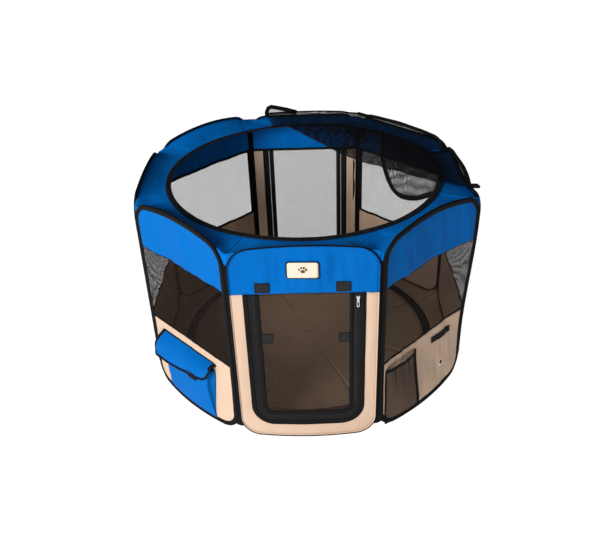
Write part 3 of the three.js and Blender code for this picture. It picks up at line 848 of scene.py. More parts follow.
def add_door_zip(index, wall):
    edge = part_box("door_zip_front")[1][0] - DOOR_HALF
    stations, wavy, level, body = door_stations(edge), door_place(index), DOOR_ZIP_LEVEL, body_of(wall)
    section = flat_section(0.3 * MM, edge - 8 * MM, level, 0.4 * MM)
    add_tape(f"zip_tape_{wall}", stations, section, wavy, M_TAPE, body, [f"door_zip_{wall}"])
    section = flat_section(edge - 12 * MM, edge + 0.5 * MM, level + 0.6 * MM, 0.9 * MM)
    add_tape(f"zip_binding_{wall}", stations, section, wavy, M_BINDING, body)
    add_coil(f"zip_teeth_{wall}", stations, wavy, COIL_OFFSET + 0.3 * MM, level, 0.0, body)


def add_door_flap(index, wall):
    """The mesh flap with its own half of the zip. All of it turns with the door."""
    body = f"{wall}_door"
    low, top = DOOR_LOW[2], BAND_EDGE
    tape_inner = -15 * MM
    columns, rows = 37, 41
    hinge_gap = 0.4 * MM

    def half_width(z):
        radius = DOOR_RADIUS - 12 * MM
        beyond = max(low + DOOR_RADIUS - z, 0)
        return DOOR_HALF - DOOR_RADIUS + math.sqrt(max(radius**2 - beyond**2, 0))

    def height(r):
        start = low + 12 * MM
        return start + (top - hinge_gap - start) * r / (rows - 1)

    def at(c, r):
        z = height(r)
        u = half_width(z) * (2 * c / (columns - 1) - 1)
        slack = math.sin(math.pi * c / (columns - 1)) * math.sin(math.pi * r / (rows - 1))
        return on_wall(index, u, z, 3 * MM * slack * soft_noise(u * 7, z * 6, index + 31))

    def flat(c, r):
        return DOOR_HALF * (2 * c / (columns - 1) - 1), height(r)

    net = grid_mesh(f"door_net_{wall}", columns, rows, at, flat)
    piece = finish_piece(net.name, net, M_DOOR_NET, body, "net", [f"door_flap_{wall}"])

    stations = [(u, min(z, top - 3 * MM), angle, run) for u, z, angle, run in door_stations(0)]
    wavy, level = door_place(index), DOOR_ZIP_LEVEL
    section = flat_section(tape_inner, -0.3 * MM, level, 0.4 * MM)
    add_tape(f"door_tape_{wall}", stations, section, wavy, M_TAPE, body)
    section = flat_section(tape_inner - 1 * MM, tape_inner + 8 * MM, level + 0.5 * MM, 0.8 * MM)
    add_tape(f"door_edging_{wall}", stations, section, wavy, M_BINDING, body)
    add_coil(f"door_teeth_{wall}", stations, wavy, -COIL_OFFSET, level, 0.5, body)


def add_door_wall(index, wall):
    add_door_surround(index, wall)
    add_door_zip(index, wall)
    add_door_flap(index, wall)


# ---------------------------------------------------------------- small pieces of the front wall
def middle_and_half(low, high):
    """A box's middle along a wall and up, and half its size each way."""
    middle = (low[0] + high[0]) / 2, (low[2] + high[2]) / 2
    return *middle, (high[0] - low[0]) / 2, (high[2] - low[2]) / 2


def inset_loop(half_u, half_z, inset, radius):
    """A rounded rectangle about its middle, drawn in by inset."""
    return rounded_loop(inset - half_u, inset - half_z, half_u - inset, half_z - inset, radius)


def add_patch(name, loops, thickness, bevel, spot, material, body, slot, nodes=()):
    """A flat shape sewn to the front wall. spot is its place: along the wall, up and out."""
    mesh = plan_mesh(name, loops, thickness, bevel, wall_matrix(0, *spot))
    finish_piece(name, lay_on_cloth(mesh, 0), material, body, slot, nodes, smooth=False)


def add_hook_tab(node, body):
    """A square of hook-and-loop tape with a stitched border."""
    low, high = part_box(node)
    u, z, half_u, half_z = middle_and_half(low, high)
    out = -(low[1] + high[1]) / 2 - APOTHEM
    thickness = high[1] - low[1]
    outline = inset_loop(half_u, half_z, 0, 2.2 * MM)
    add_patch(f"{node}_tape", [outline], thickness, 0.5 * MM, (u, z, out + 1 * MM), M_HOOK, body, "hook_loop",
              [node])
    border = [outline, inset_loop(half_u, half_z, 2.4 * MM, 1 * MM)]
    add_patch(f"{node}_edge", border, thickness, 0.3 * MM, (u, z, out + 1.35 * MM), M_WEBBING, body,
              "hook_loop")


# A paw print: each pad's middle, half sizes and turn, in mm and radians.
PAW_PADS = ((0, -3.6, 5.4, 4.2, 0), (-8.4, 1.8, 2.3, 3.3, 0.5), (-3.2, 6.4, 2.4, 3.6, 0.15),
            (3.2, 6.4, 2.4, 3.6, -0.15), (8.4, 1.8, 2.3, 3.3, -0.5))


def add_label():
    """A woven patch with a dark edge and a generic paw print."""
    low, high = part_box("label_patch")
    u, z, half_u, half_z = middle_and_half(low, high)
    out = -low[1] - APOTHEM + 1.2 * MM
    corner = 7 * MM

    def add(name, loops, thickness, bevel, lift, material, nodes=()):
        add_patch(name, loops, thickness, bevel, (u, z, out + lift), material, "front_wall", "label", nodes)

    def ring(inset, width):
        return [inset_loop(half_u, half_z, edge, corner - edge * 0.6) for edge in (inset, inset + width)]

    outline = inset_loop(half_u, half_z, 0, corner)
    add("label_cloth", [outline], 1.2 * MM, 0.4 * MM, 0, M_LABEL, ["label_patch"])
    add("label_edge", ring(-0.6 * MM, 3.2 * MM), 0.9 * MM, 0.25 * MM, 0.5 * MM, M_BINDING)
    add("label_line", ring(4.4 * MM, 0.7 * MM), 0.9 * MM, 0.25 * MM, 0.45 * MM, M_PRINT)
    for number, (x, y, half_x, half_y, turn) in enumerate(PAW_PADS):
        pad = oval_loop(x * MM, y * MM, half_x * MM, half_y * MM, turn)
        add(f"label_paw_{number}", [pad], 0.8 * MM, 0.25 * MM, 0.5 * MM, M_PRINT)


def add_plate(name, loops, thickness, bevel, spot, body, nodes=()):
    """A flat piece of plated metal on the front wall."""
    mesh = plan_mesh(name, loops, thickness, bevel, wall_matrix(0, *spot))
    finish_piece(name, mesh, M_METAL, body, "zip_metal", nodes, smooth=False)


def add_slider():
    """The zip's slider with its crown, and the pull that hangs from it."""
    low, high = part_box("zip_slider")
    u, top, half, drop = (low[0] + high[0]) / 2, high[2], (high[0] - low[0]) / 2, high[2] - low[2]
    base = -high[1] - APOTHEM
    body = [(-half, 0), (-half, -0.45 * drop), (-0.62 * half, -drop), (0.62 * half, -drop),
            (half, -0.45 * drop), (half, 0), (0.45 * half, -0.14 * drop), (-0.45 * half, -0.14 * drop)]
    add_plate("slider_body", [body[::-1]], 2.2 * MM, 0.5 * MM, (u, top, base + 2.3 * MM), "slider",
              ["zip_slider"])
    crown = rounded_loop(-1.7 * MM, -9.5 * MM, 1.7 * MM, -2 * MM, 1.2 * MM)
    hole = rounded_loop(-0.7 * MM, -8.0 * MM, 0.7 * MM, -3.6 * MM, 0.5 * MM)
    add_plate("slider_crown", [crown, hole], 1.4 * MM, 0.35 * MM, (u, top, base + 3.9 * MM), "slider")
    add_slider_pull(u)


def add_slider_pull(u):
    low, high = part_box("zip_pull")
    length, width = high[2] - low[2], (high[0] - low[0]) / 2
    loop = rounded_loop(-width, -length, width, 0, 2.4 * MM)
    loop = [(x * (0.72 if y > -0.25 * length else 1.0), y) for x, y in loop]
    window = rounded_loop(-width * 0.42, -0.3 * length, width * 0.42, -1.6 * MM, 0.9 * MM)
    groove = rounded_loop(-width * 0.5, -0.9 * length, width * 0.5, -0.48 * length, 1.6 * MM)
    out = -(low[1] + high[1]) / 2 - APOTHEM
    add_plate("pull_tab", [loop, window, groove], 1.2 * MM, 0.35 * MM, (u, high[2], out), "slider_pull",
              ["zip_pull"])


# ---------------------------------------------------------------- pockets
def local_box(node, index):
    """A node's extent along its wall and outwards from it, from the vertices of its mesh."""
    along, outwards = wall_axes(index)
    points = [vertex.co for vertex in bpy.data.objects[node].data.vertices]
    us = [point.dot(along) for point in points]
    outs = [point.dot(outwards) - APOTHEM for point in points]
    zs = [point.z for point in points]
    return (min(us), min(outs), min(zs)), (max(us), max(outs), max(zs))


def tape_along(name, path, width, thickness, body, normals, material=M_BINDING, slot="binding"):
    """A tape folded over an edge: a flat section carried along a path of points."""
    stations, run = [], 0.0
    for k, point in enumerate(path):
        if k:
            run += (point - path[k - 1]).length
        ahead = path[min(k + 1, len(path) - 1)] - path[max(k - 1, 0)]
        normal = normals[k] if isinstance(normals, list) else normals
        side = ahead.cross(normal).normalized()
        stations.append((point, side, side.cross(ahead).normalized(), run))
    section = flat_section(-width / 2, width / 2, 0.0, thickness / 2)

    def at(station, across, depth):
        point, side, up, _ = station
        return point + side * across + up * depth

    mesh = swept_mesh(name, stations, section, at, closed=False)
    return finish_piece(name, mesh, material, body, slot)


def cargo_front(c, r, columns, rows, index=FRONT_LEFT):
    """The bag's front: closed at its foot and its left side, and fullest near its mouth on the right."""
    low, high = local_box("cargo_pocket", index)
    share, up = c / (columns - 1), r / (rows - 1)
    foot = low[2] - 2 * MM * share
    u = high[0] - 1 * MM + (share - 1) * 219 * MM - 14 * MM * up
    z = foot + (high[2] - 3 * MM - foot) * up
    closed = math.sin(0.5 * math.pi * min(1.0, share / 0.16))
    depth = (high[1] - 14 * MM) * min(1.0, up / 0.7) ** 0.85
    depth -= 9 * MM * ease(up, 0.72) * (1 - 0.7 * ease(share, 0.6, 0.95))
    folds = 2.4 * MM * min(1.0, 3 * up) * (soft_noise(u * 22, z * 9, 4) + 0.7 * soft_noise(u * 8, z * 30, 6))
    return on_cloth(index, u, z, 1.2 * MM + max(0.0, closed * (depth + folds)))


def add_cargo_pocket(index=FRONT_LEFT):
    columns, rows = 57, 33
    width, height = 240 * MM, 170 * MM
    outwards = wall_axes(index)[1]

    def at(c, r):
        return cargo_front(c, r, columns, rows)

    flat = flat_grid(width, height, columns, rows)
    bag = finish_sheet("cargo_bag", columns, rows, at, flat, outwards, M_BLUE, "front_left_wall",
                       "blue_oxford", ["cargo_pocket"])
    rim = [at(c, rows - 1) for c in range(columns)]
    tape_along("cargo_rim", rim, 9 * MM, 2.2 * MM, "front_left_wall", outwards)
    add_cargo_gusset(index, columns, rows)


def add_cargo_gusset(index, bag_columns, bag_rows):
    """The pleated strip that lets the bag's right side stand off the wall. It tapers to its foot."""
    columns, rows = 7, 25
    width, height = 36 * MM, 170 * MM
    along = wall_axes(index)[0]

    def at(c, r):
        share = c / (columns - 1)
        near = cargo_front(bag_columns - 1, (bag_rows - 1) * r / (rows - 1), bag_columns, bag_rows)
        far = on_cloth(index, 106 * MM, near.z, 1.0 * MM)
        pleat = along * (-6 * MM * math.sin(math.pi * share) * r / (rows - 1))
        return near.lerp(far, share) + pleat

    flat = flat_grid(width, height, columns, rows)
    gusset = finish_sheet("cargo_gusset", columns, rows, at, flat, along, M_BLUE, "front_left_wall",
                          "blue_oxford")


# The flap's lower edge as it hangs: along its wall, height and out from the wall, in mm.
FLAP_EDGE = ((-140, 129, 30), (-134, 122, 33), (-65, 127, 33), (5, 139, 34), (62, 147, 34), (86, 153, 33),
             (98, 164, 31), (103, 181, 23))


def flap_edge(share):
    place_along = share * (len(FLAP_EDGE) - 1)
    first = min(int(place_along), len(FLAP_EDGE) - 2)
    part = place_along - first
    return [(a + (b - a) * part) * MM for a, b in zip(FLAP_EDGE[first], FLAP_EDGE[first + 1])]


def flap_share(share):
    """Spaces the flap's columns evenly along its lower edge."""
    lengths = [math.dist(a, b) for a, b in zip(FLAP_EDGE, FLAP_EDGE[1:])]
    left = share * sum(lengths)
    for k, length in enumerate(lengths):
        if left <= length:
            return (k + left / length) / len(lengths)
        left -= length
    return 1.0


def add_cargo_flap(index=FRONT_LEFT):
    """The flap leaves its seam over the bag and slopes down in front of it."""
    low, high = local_box("cargo_pocket_flap", index)
    columns, rows = 71, 25
    root_out, root_z = low[1] + 1 * MM, high[2] - 0.5 * MM
    root_left, root_right = -122 * MM, 104 * MM

    def at(c, r):
        share, down = c / (columns - 1), r / (rows - 1)
        edge_u, edge_z, edge_out = flap_edge(flap_share(share))
        root_u = root_left + (root_right - root_left) * share
        u = root_u + (edge_u - root_u) * ease(down, -0.3, 0.7)
        z = root_z + (edge_z - root_z) * down
        out = root_out + (edge_out - root_out) * (1 - (1 - down) ** 3.2)
        folds = soft_noise(u * 15, z * 14, 4) + 0.5 * soft_noise(u * 34, z * 20, 9)
        return on_cloth(index, u, z, out + 2.6 * MM * folds * math.sin(math.pi * min(1.0, down)) ** 0.7)

    flat = flat_grid(root_right - root_left, 78 * MM, columns, rows)
    along, outwards = wall_axes(index)
    way = (outwards + UP).normalized()
    flap = finish_sheet("cargo_flap_cloth", columns, rows, at, flat, way, M_BLUE, "cargo_flap", "blue_oxford",
                        ["cargo_pocket_flap"])
    path = [at(0, r) for r in range(rows)] + [at(c, rows - 1) for c in range(1, columns)]
    path += [at(columns - 1, r) for r in range(rows - 2, 0, -2)]
    tape_along("cargo_flap_edge", path, 11 * MM, 2.4 * MM, "cargo_flap", way)
    root = [at(c, 0) + along * (3 * MM if c == columns - 1 else 0) for c in range(0, columns, 2)]
    root.append(root[-1] + along * 5 * MM + outwards * 3 * MM - UP * 4 * MM)
    tape_along("cargo_flap_root", root, 4 * MM, 1.6 * MM, "cargo_flap", way)
    add_pull_strap(index)


def add_pull_strap(index):
    """The webbing loop under the flap's edge, to lift it by."""
    columns, rows = 9, 13
    middle, half, drop = 36 * MM, 17 * MM, 23 * MM
    edge_z, edge_out = 143 * MM, 33 * MM

    def at(c, r):
        down = r / (rows - 1)
        u = middle + half * (2 * c / (columns - 1) - 1)
        return on_wall(index, u, edge_z + 6 * MM - drop * down, edge_out - 3 * MM * down)

    flat = flat_grid(2 * half, drop, columns, rows)
    strap = finish_sheet("cargo_flap_strap", columns, rows, at, flat, wall_axes(index)[1], M_WEBBING,
                         "cargo_flap", "hook_loop", thickness=2.2 * MM)


def add_bottle_pocket(index=FRONT_RIGHT):
    """A net bag sewn to its wall at the sides and the foot, pleated under the binding at its mouth."""
    low, high = local_box("bottle_pocket", index)
    columns, rows = 57, 31
    left, right = low[0] - 9 * MM, high[0] - 5 * MM
    foot, top = low[2] - 12 * MM, high[2] + 5 * MM

    def across(c):
        return 0.5 - 0.5 * math.cos(math.pi * c / (columns - 1))

    def at(c, r):
        share, up = across(c), r / (rows - 1)
        u, z = left + (right - left) * share, foot + (top - foot) * up
        full = (1 - abs(2 * share - 1) ** 3) ** 0.6
        depth = (high[1] - 8 * MM) * min(1.0, 0.25 + 2.2 * up) * (1 - 0.3 * ease(up, 0.6))
        pleats = sum(math.exp(-(((share - middle) / 0.035) ** 2)) for middle in (0.27, 0.48, 0.72))
        folds = 2.5 * MM * soft_noise(u * 30, z * 10, 12) * (1 - ease(up, 0.8))
        folds -= 9 * MM * pleats * ease(up, 0.25, 0.8) * (1 - ease(up, 0.93))
        return on_cloth(index, u, z, 1.0 * MM + max(0.0, full * (depth + folds)) * min(1.0, 8 * up))

    def flat(c, r):
        return 150 * MM * across(c), (top - foot) * r / (rows - 1)

    mesh = grid_mesh("bottle_net", columns, rows, at, flat)
    net = finish_piece(mesh.name, mesh, M_POCKET_NET, "front_right_wall", "net", ["bottle_pocket"])
    outwards = wall_axes(index)[1]
    edges = {"rim": ([at(c, rows - 1) for c in range(columns)], 11 * MM),
             "left": ([at(0, r) for r in range(rows)], 6 * MM),
             "right": ([at(columns - 2, r) for r in range(rows)], 11 * MM),
             "foot": ([at(c, 0) for c in range(columns)], 7 * MM)}
    for side, (path, width) in edges.items():
        tape_along(f"bottle_{side}", path, width, 2.4 * MM, "front_right_wall", outwards)


def add_front_right_fittings(index=FRONT_RIGHT):
    """The webbing strip, sewn on at its ends, and the eyelet."""
    low, high = local_box("webbing_strip", index)
    columns, rows = 33, 7
    left, right = low[0] - 9 * MM, high[0] - 2 * MM

    def at(c, r):
        u = left + (right - left) * c / (columns - 1)
        z = low[2] + 4 * MM + (high[2] - low[2]) * r / (rows - 1)
        bow = 1.6 * MM * math.sin(math.pi * c / (columns - 1)) ** 2
        return on_cloth(index, u, z, high[1] + bow)

    size = right - left, high[2] - low[2]
    flat = flat_grid(*size, columns, rows)
    strip = finish_sheet("webbing_tape", columns, rows, at, flat, wall_axes(index)[1], M_WEBBING,
                         "front_right_wall", "hook_loop", ["webbing_strip"], 1.6 * MM)
    add_eyelet(index)


def add_eyelet(index):
    """A rolled eyelet with a dark disc behind its hole, which makes the hole read dark."""
    low, high = local_box("cable_grommet", index)
    u, z, outer, _ = middle_and_half(low, high)
    face = high[1]
    hole = outer - 4 * MM
    section = [(hole, 0), (hole + 0.2 * MM, 0.7 * face), (hole + 1.2 * MM, face),
               (outer - 1.6 * MM, 0.95 * face), (outer - 0.3 * MM, 0.7 * face), (outer, 0.45 * face),
               (hole + 1.6 * MM, 0.4 * face)]
    section += [(r, -d) for r, d in reversed(section[1:])]
    steps = 48
    stations = [(k * math.tau / steps, k * outer * math.tau / steps) for k in range(steps)]
    lift = wall_relief(index, u, z)

    def at(station, radius, depth):
        across, up = radius * math.cos(station[0]), radius * math.sin(station[0])
        return on_wall(index, u + across, z + up, lift + depth)

    mesh = swept_mesh("eyelet", stations, section, at, closed=True)
    finish_piece("eyelet", mesh, M_EYELET, "front_right_wall", "grommet_metal", ["cable_grommet"])
    # A dark disc sits behind the hole so that the hole reads dark.
    disc = oval_loop(0, 0, hole + 1 * MM, hole + 1 * MM)
    matrix = wall_matrix(index, u, z, lift + 0.9 * MM)
    dark_disc = plan_mesh("eyelet_backing", [disc], 0.8 * MM, 0.2 * MM, matrix)
    finish_piece(dark_disc.name, dark_disc, M_TAPE, "front_right_wall", "zip_tape", smooth=False)


# ---------------------------------------------------------------- roof: ring of cloth, rim and its zip
RING_INSET = 3.6 * MM  # from a wall's middle plane in to the ring's outer edge
RING_EDGE = HEIGHT - 8 * MM
NOTCH_Z = HEIGHT - 46 * MM  # where the hoops' rounded corners leave off
SADDLE_DROP = 11 * MM  # how far the roof's cloth dips where it crosses from hoop to hoop
DEEP_SADDLE = ("right", 42 * MM)  # the corner after this wall is pulled down by the cover


def ring_edge_height(index, u, lowest):
    """The ring's outer edge follows the rounded top corners of the hoops."""
    beyond = max(0.0, abs(u) - (HALF_WIDTH - CORNER_RADIUS))
    radius = CORNER_RADIUS - (HEIGHT - RING_EDGE)
    drop = radius - math.sqrt(max(0.0, radius**2 - beyond**2))
    return max(lowest, RING_EDGE - drop) + wall_arch(index, u, HEIGHT)


def saddle_height(index, u):
    """How low the roof's edge comes at the corner on this side of a wall."""
    corner = WALLS[index] if u > 0 else WALLS[index - 1]
    deep, drop = DEEP_SADDLE
    return HEIGHT - (drop if corner == deep else SADDLE_DROP)


def ring_point(index, angle, share):
    """From the outer edge (0) in to the rim (1). Places on a shared seam agree between neighbours."""
    radius_out = (APOTHEM - RING_INSET) / math.cos(angle)
    radius = radius_out + (RIM_RADIUS - radius_out) * share
    u = radius_out * math.sin(angle)
    edge_z = ring_edge_height(index, u, saddle_height(index, u))
    eased = 1 - (1 - share) ** (1.6 if abs(angle) > 0.7 * HALF_STEP else 1.25)
    spot = direction(index, angle) * radius
    slack = math.sin(math.pi * share)
    folds = 3.6 * MM * soft_noise(spot.x * 11, spot.y * 11, 40)
    folds += 2.4 * MM * soft_noise(spot.x * 30, spot.y * 30, 41)
    z = edge_z + (RIM_Z - edge_z) * eased - 3 * MM * slack + folds * slack
    return spot + UP * z + corner_lean(index, u, HEIGHT) * (1 - share)


def follow_fold(obj, index):
    """Gives a piece of cloth its own copy of its mesh."""
    anchor = on_wall(index, 0, HEIGHT / 2, -4 * MM)
    wall_axes(index)[1]
    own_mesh(obj)


def add_roof_gore(index, wall):
    columns, rows = 61, 17

    def angle(c):
        return HALF_STEP * (2 * c / (columns - 1) - 1)

    def at(c, r):
        spot = ring_point(index, angle(c), max(0, r - 1) / (rows - 2))
        if r == 0:
            u = (APOTHEM - RING_INSET) * math.tan(angle(c))
            spot.z = min(spot.z - 4 * MM, ring_edge_height(index, u, NOTCH_Z))
        return spot

    def flat(c, r):
        depth = APOTHEM - RIM_RADIUS
        return APOTHEM * math.tan(angle(c)), depth * (r - 1) / (rows - 2)

    way = (wall_axes(index)[1] + UP).normalized()
    # The gores use the roof's painted-light blue, lighter than the walls' same cloth.
    gore = finish_sheet(f"roof_gore_{wall}", columns, rows, at, flat, way, M_RING_LIGHTENED, body_of(wall),
                        "blue_oxford", ["roof_ring"])
    follow_fold(gore, index)
    add_roof_seam(index, wall)
    add_rim(index, wall)


def add_roof_seam(index, wall):
    """A piped seam runs from the notch between two hoops in to the rim."""
    steps = 16
    path = [ring_point(index, HALF_STEP, k / steps) + UP * (0.8 * MM) for k in range(steps + 1)]
    # The seam uses the roof's painted-light blue.
    seam = tape_along(f"roof_seam_{wall}", path, 3.4 * MM, 1.8 * MM, body_of(wall), UP, M_RING_LIGHTENED, "blue_oxford")
    follow_fold(seam, index)


def arc_stations(radius, spacing=8 * MM):
    """Across one wall's eighth of a circle: (angle, run)."""
    count = max(4, round(radius * STEP / spacing))
    angles = [-HALF_STEP + STEP * k / count for k in range(count + 1)]
    return [(angle, radius * (angle + HALF_STEP)) for angle in angles]


def arc_place(index, height):
    def at(station, radius, depth):
        spot = direction(index, station[0]) * radius
        lift = 1.6 * MM * soft_noise(spot.x * 9, spot.y * 9, 44)
        return spot + UP * (height + depth + lift)
    return at


def add_round_zip(names, node, index, place_at, radius, section, coil_at):
    """One wall's part of a round zip: its tape and its coil, which follow the fold."""
    body, stations = body_of(WALLS[index]), arc_stations(radius)
    tape = add_tape(names[0], stations, section, place_at, M_TAPE, body, [node])
    follow_fold(tape, index)
    coil = add_coil(names[1], stations, place_at, *coil_at, 0.0, body)
    follow_fold(coil, index)


def add_rim(index, wall):
    """The zip round the rim of the roof's opening."""
    low, high = RIM_RADIUS - 7 * MM, RIM_RADIUS + 7 * MM
    names = f"rim_tape_{wall}", f"rim_teeth_{wall}"
    add_round_zip(names, "roof_zip", index, arc_place(index, RIM_Z + 3 * MM), RIM_RADIUS,
                  flat_section(low, high, 0, 1.2 * MM), (low - 1 * MM, 0.4 * MM))


# ---------------------------------------------------------------- floor
def floor_point(index, angle, radius, base):
    spot = direction(index, angle) * radius
    lift = 0.5 + 0.5 * soft_noise(spot.x * 7, spot.y * 7, 50)
    fine = 0.5 + 0.5 * soft_noise(spot.x * 22, spot.y * 22, 51)
    return spot + UP * (base + 2.2 * MM * lift + 0.9 * MM * fine)


def add_floor_sector(index, wall):
    """The zip-out floor is one round sheet. Each eighth of it folds with its own wall."""
    columns, rows = 25, 25

    def at(c, r):
        angle = HALF_STEP * (2 * c / (columns - 1) - 1)
        return floor_point(index, angle, FLOOR_RADIUS * (0.002 + 0.998 * r / (rows - 1)), 1.0 * MM)

    def flat(c, r):
        spot = at(c, r)
        return spot.x, spot.y

    piece = finish_sheet(f"floor_cloth_{wall}", columns, rows, at, flat, UP, M_FLOOR, body_of(wall),
                         "floor_cloth", ["floor_panel"])
    follow_fold(piece, index)
    add_floor_border(index, wall)
    add_floor_zip(index, wall)


def hoop_foot(u):
    """How high a hoop's lower edge is above the floor, at its rounded corners."""
    radius = CORNER_RADIUS - 3 * MM
    beyond = min(radius, max(0.0, abs(u) - (HALF_WIDTH - CORNER_RADIUS)))
    return min(NOTCH_LOW, radius - math.sqrt(radius**2 - beyond**2))


def add_floor_border(index, wall):
    """The border sewn to the walls' lower edges, round the zip-out floor."""
    columns, rows = 41, 9

    def at(c, r):
        angle = HALF_STEP * (2 * c / (columns - 1) - 1)
        u = APOTHEM * math.tan(angle)
        outer = (APOTHEM - 0.5 * MM + wall_bow(index, u, 0)) / math.cos(angle)
        share = r / (rows - 1)
        spot = floor_point(index, angle, outer + (FLOOR_RADIUS + 2 * MM - outer) * share, 1.0 * MM)
        return spot + UP * (hoop_foot(u) * (1 - share) ** 3)

    def flat(c, r):
        spot = at(c, r)
        return spot.x, spot.y

    piece = finish_sheet(f"floor_border_cloth_{wall}", columns, rows, at, flat, UP, M_FLOOR, body_of(wall),
                         "floor_cloth", ["floor_border"])
    follow_fold(piece, index)


def add_floor_zip(index, wall):
    """The zip round the floor panel."""
    def at(station, radius, depth):
        return floor_point(index, station[0], radius, 2.2 * MM + depth)

    middle = (FLOOR_RADIUS + FLOOR_ZIP_OUTER) / 2
    section = flat_section(FLOOR_RADIUS - 3 * MM, FLOOR_ZIP_OUTER + 3 * MM, 0, 0.8 * MM)
    names = f"floor_tape_{wall}", f"floor_teeth_{wall}"
    add_round_zip(names, "floor_zip", index, at, middle, section, (middle, 1.0 * MM))


# ---------------------------------------------------------------- roof cover, folded back over the rear right
COVER_MIDDLE = math.radians(132.5)  # the way it is folded, from the front wall round to the right
COVER_HALF = math.radians(55.5)  # from there to each end of the fold
COVER_LEFT_END = math.radians(195.6)  # where the part that lies on the roof ends
COVER_CHORD = 221 * MM  # straight fold's distance from the middle of the pen
COVER_BOW = 25 * MM
COVER_HANG = 92 * MM
COVER_RADIUS = RIM_RADIUS - 3 * MM


def cover_turn(index, angle):
    """How far along the fold: -1 at its right front end and 1 at its left rear end."""
    return (index * STEP + angle - COVER_MIDDLE) / COVER_HALF


def cover_fold_radius(turn):
    away = COVER_CHORD - COVER_BOW * (1 - turn * turn)
    return min(RIM_RADIUS - 2 * MM, away / math.cos(turn * COVER_HALF))


def cover_edge_point(index, angle):
    """The cover's bound edge where it lies along the outside of the walls' tops."""
    away = abs(angle) / HALF_STEP
    u = APOTHEM * math.tan(angle)
    pulled_in = 10 * MM * (1 - ease(index * STEP + angle, math.radians(115), math.radians(150)))
    spot = direction(index, angle) * ((478 + 10 * away**2) * MM - pulled_in)
    height = ring_edge_height(index, u, saddle_height(index, u)) + 12 * MM
    return spot + UP * (height + 1.5 * MM * soft_noise(spot.x * 14, spot.y * 14, 70))


def cover_profile(index, angle):
    """One radial line of the folded net, from the rim in to the fold, back out and down outside."""
    turn = max(-1.0, min(1.0, cover_turn(index, angle)))
    fold = cover_fold_radius(turn)
    edge = cover_edge_point(index, angle)
    edge_out, edge_z = math.hypot(edge.x, edge.y), edge.z
    hang = COVER_HANG * (1 - 0.75 * turn**4) * (1 + 0.18 * math.sin(7 * turn + 1))
    sag = 12 * MM * (1 - turn * turn)
    span, under = RIM_RADIUS - fold, RIM_Z - sag
    return [(RIM_RADIUS - 4 * MM, RIM_Z + 5 * MM), (fold + 0.55 * span, RIM_Z - 0.45 * sag),
            (fold + 2 * MM, under), (fold - 2 * MM, under + 2.5 * MM), (fold + 3 * MM, under + 6 * MM),
            (fold + 0.5 * span, RIM_Z + 7 * MM - 0.4 * sag), (RIM_RADIUS, RIM_Z + 9 * MM),
            (edge_out - 30 * MM, edge_z - 3 * MM), (edge_out - 3 * MM, edge_z - 1 * MM),
            (edge_out + 1 * MM, edge_z - 6 * MM), (edge_out + 1 * MM, edge_z - 25 * MM),
            (edge_out - 3 * MM, edge_z - hang)]


def along_profile(points, share):
    """A place at a share of a profile's length."""
    lengths = [math.hypot(b[0] - a[0], b[1] - a[1]) for a, b in zip(points, points[1:])]
    left = share * sum(lengths)
    for (a, b), length in zip(zip(points, points[1:]), lengths):
        if left <= length or b is points[-1]:
            part = min(1.0, left / length) if length else 0.0
            return a[0] + (b[0] - a[0]) * part, a[1] + (b[1] - a[1]) * part
        left -= length
    return points[-1]


def add_cover_top(index, wall, first, last):
    """The part of the folded net over one wall, between two angles from that wall's direction."""
    columns, rows = 37, 61

    def angle(c):
        return first + (last - first) * c / (columns - 1)

    profiles = [cover_profile(index, angle(c)) for c in range(columns)]
    length = sum(math.dist(a, b) for a, b in zip(profiles[columns // 2], profiles[columns // 2][1:]))

    def at(c, r):
        share = r / (rows - 1)
        radius, z = along_profile(profiles[c], share)
        spot = direction(index, angle(c)) * radius
        ruffle = soft_noise(spot.x * 16, spot.y * 16, 60 + share) * math.sin(math.pi * share) ** 0.5
        return spot + UP * (z + 3.0 * MM * ruffle)

    def flat(c, r):
        return RIM_RADIUS * angle(c), length * r / (rows - 1)

    mesh = grid_mesh(f"cover_top_{wall}", columns, rows, at, flat)
    piece = finish_piece(mesh.name, mesh, M_COVER, body_of(wall), "net", ["roof_cover"])
    follow_fold(piece, index)
    hem_path = [at(c, rows - 1) for c in range(columns)]
    outwards = [direction(index, angle(c)) for c in range(columns)]
    hem = tape_along(f"cover_hem_{wall}", hem_path, 9 * MM, 2.4 * MM, body_of(wall), outwards)
    follow_fold(hem, index)


def add_cover_edge(index, wall, first, last, width, thickness):
    """The cover's bound edge along one wall. At the right it runs on a little past the fold's end."""
    steps = 30
    angles = [first + (last - first) * k / steps for k in range(steps + 1)]
    path = [cover_edge_point(index, angle) for angle in angles]
    ways = [(direction(index, angle) + UP * 1.3).normalized() for angle in angles]
    if wall == "right":
        path.insert(0, direction(index, first - 0.105) * (497 * MM) + UP * (HEIGHT + 10 * MM))
        ways.insert(0, ways[0])
    edge = tape_along(f"cover_bound_{wall}", path, width, thickness, body_of(wall), ways)
    follow_fold(edge, index)


# The loop's bound edge: along the back wall and height, in mm.
COVER_LOOP = ((128, 572), (128, 591), (122, 605), (112, 610), (92, 606), (57, 598), (25, 588))


def add_cover_loop():
    """The bound edge stands up in a loop at the left end of the fold, with the net inside it."""
    index, wall = WALLS.index("back"), "back"
    out, low = 16 * MM, COVER_LOOP[0][1]
    path = [on_wall(index, u * MM, z * MM, out) for u, z in COVER_LOOP]
    edge = tape_along("cover_loop_edge", path, 14 * MM, 4 * MM, body_of(wall), wall_axes(index)[1])
    follow_fold(edge, index)
    columns, rows = len(COVER_LOOP), 7

    def at(c, r):
        u, z = COVER_LOOP[c]
        return on_wall(index, u * MM, (low + (z - low) * r / (rows - 1)) * MM, out - 2 * MM)

    mesh = grid_mesh("cover_loop_net", columns, rows, at, flat_grid(90 * MM, 32 * MM, columns, rows))
    net = finish_piece(mesh.name, mesh, M_NET, body_of(wall), "net", ["roof_cover"])
    follow_fold(net, index)


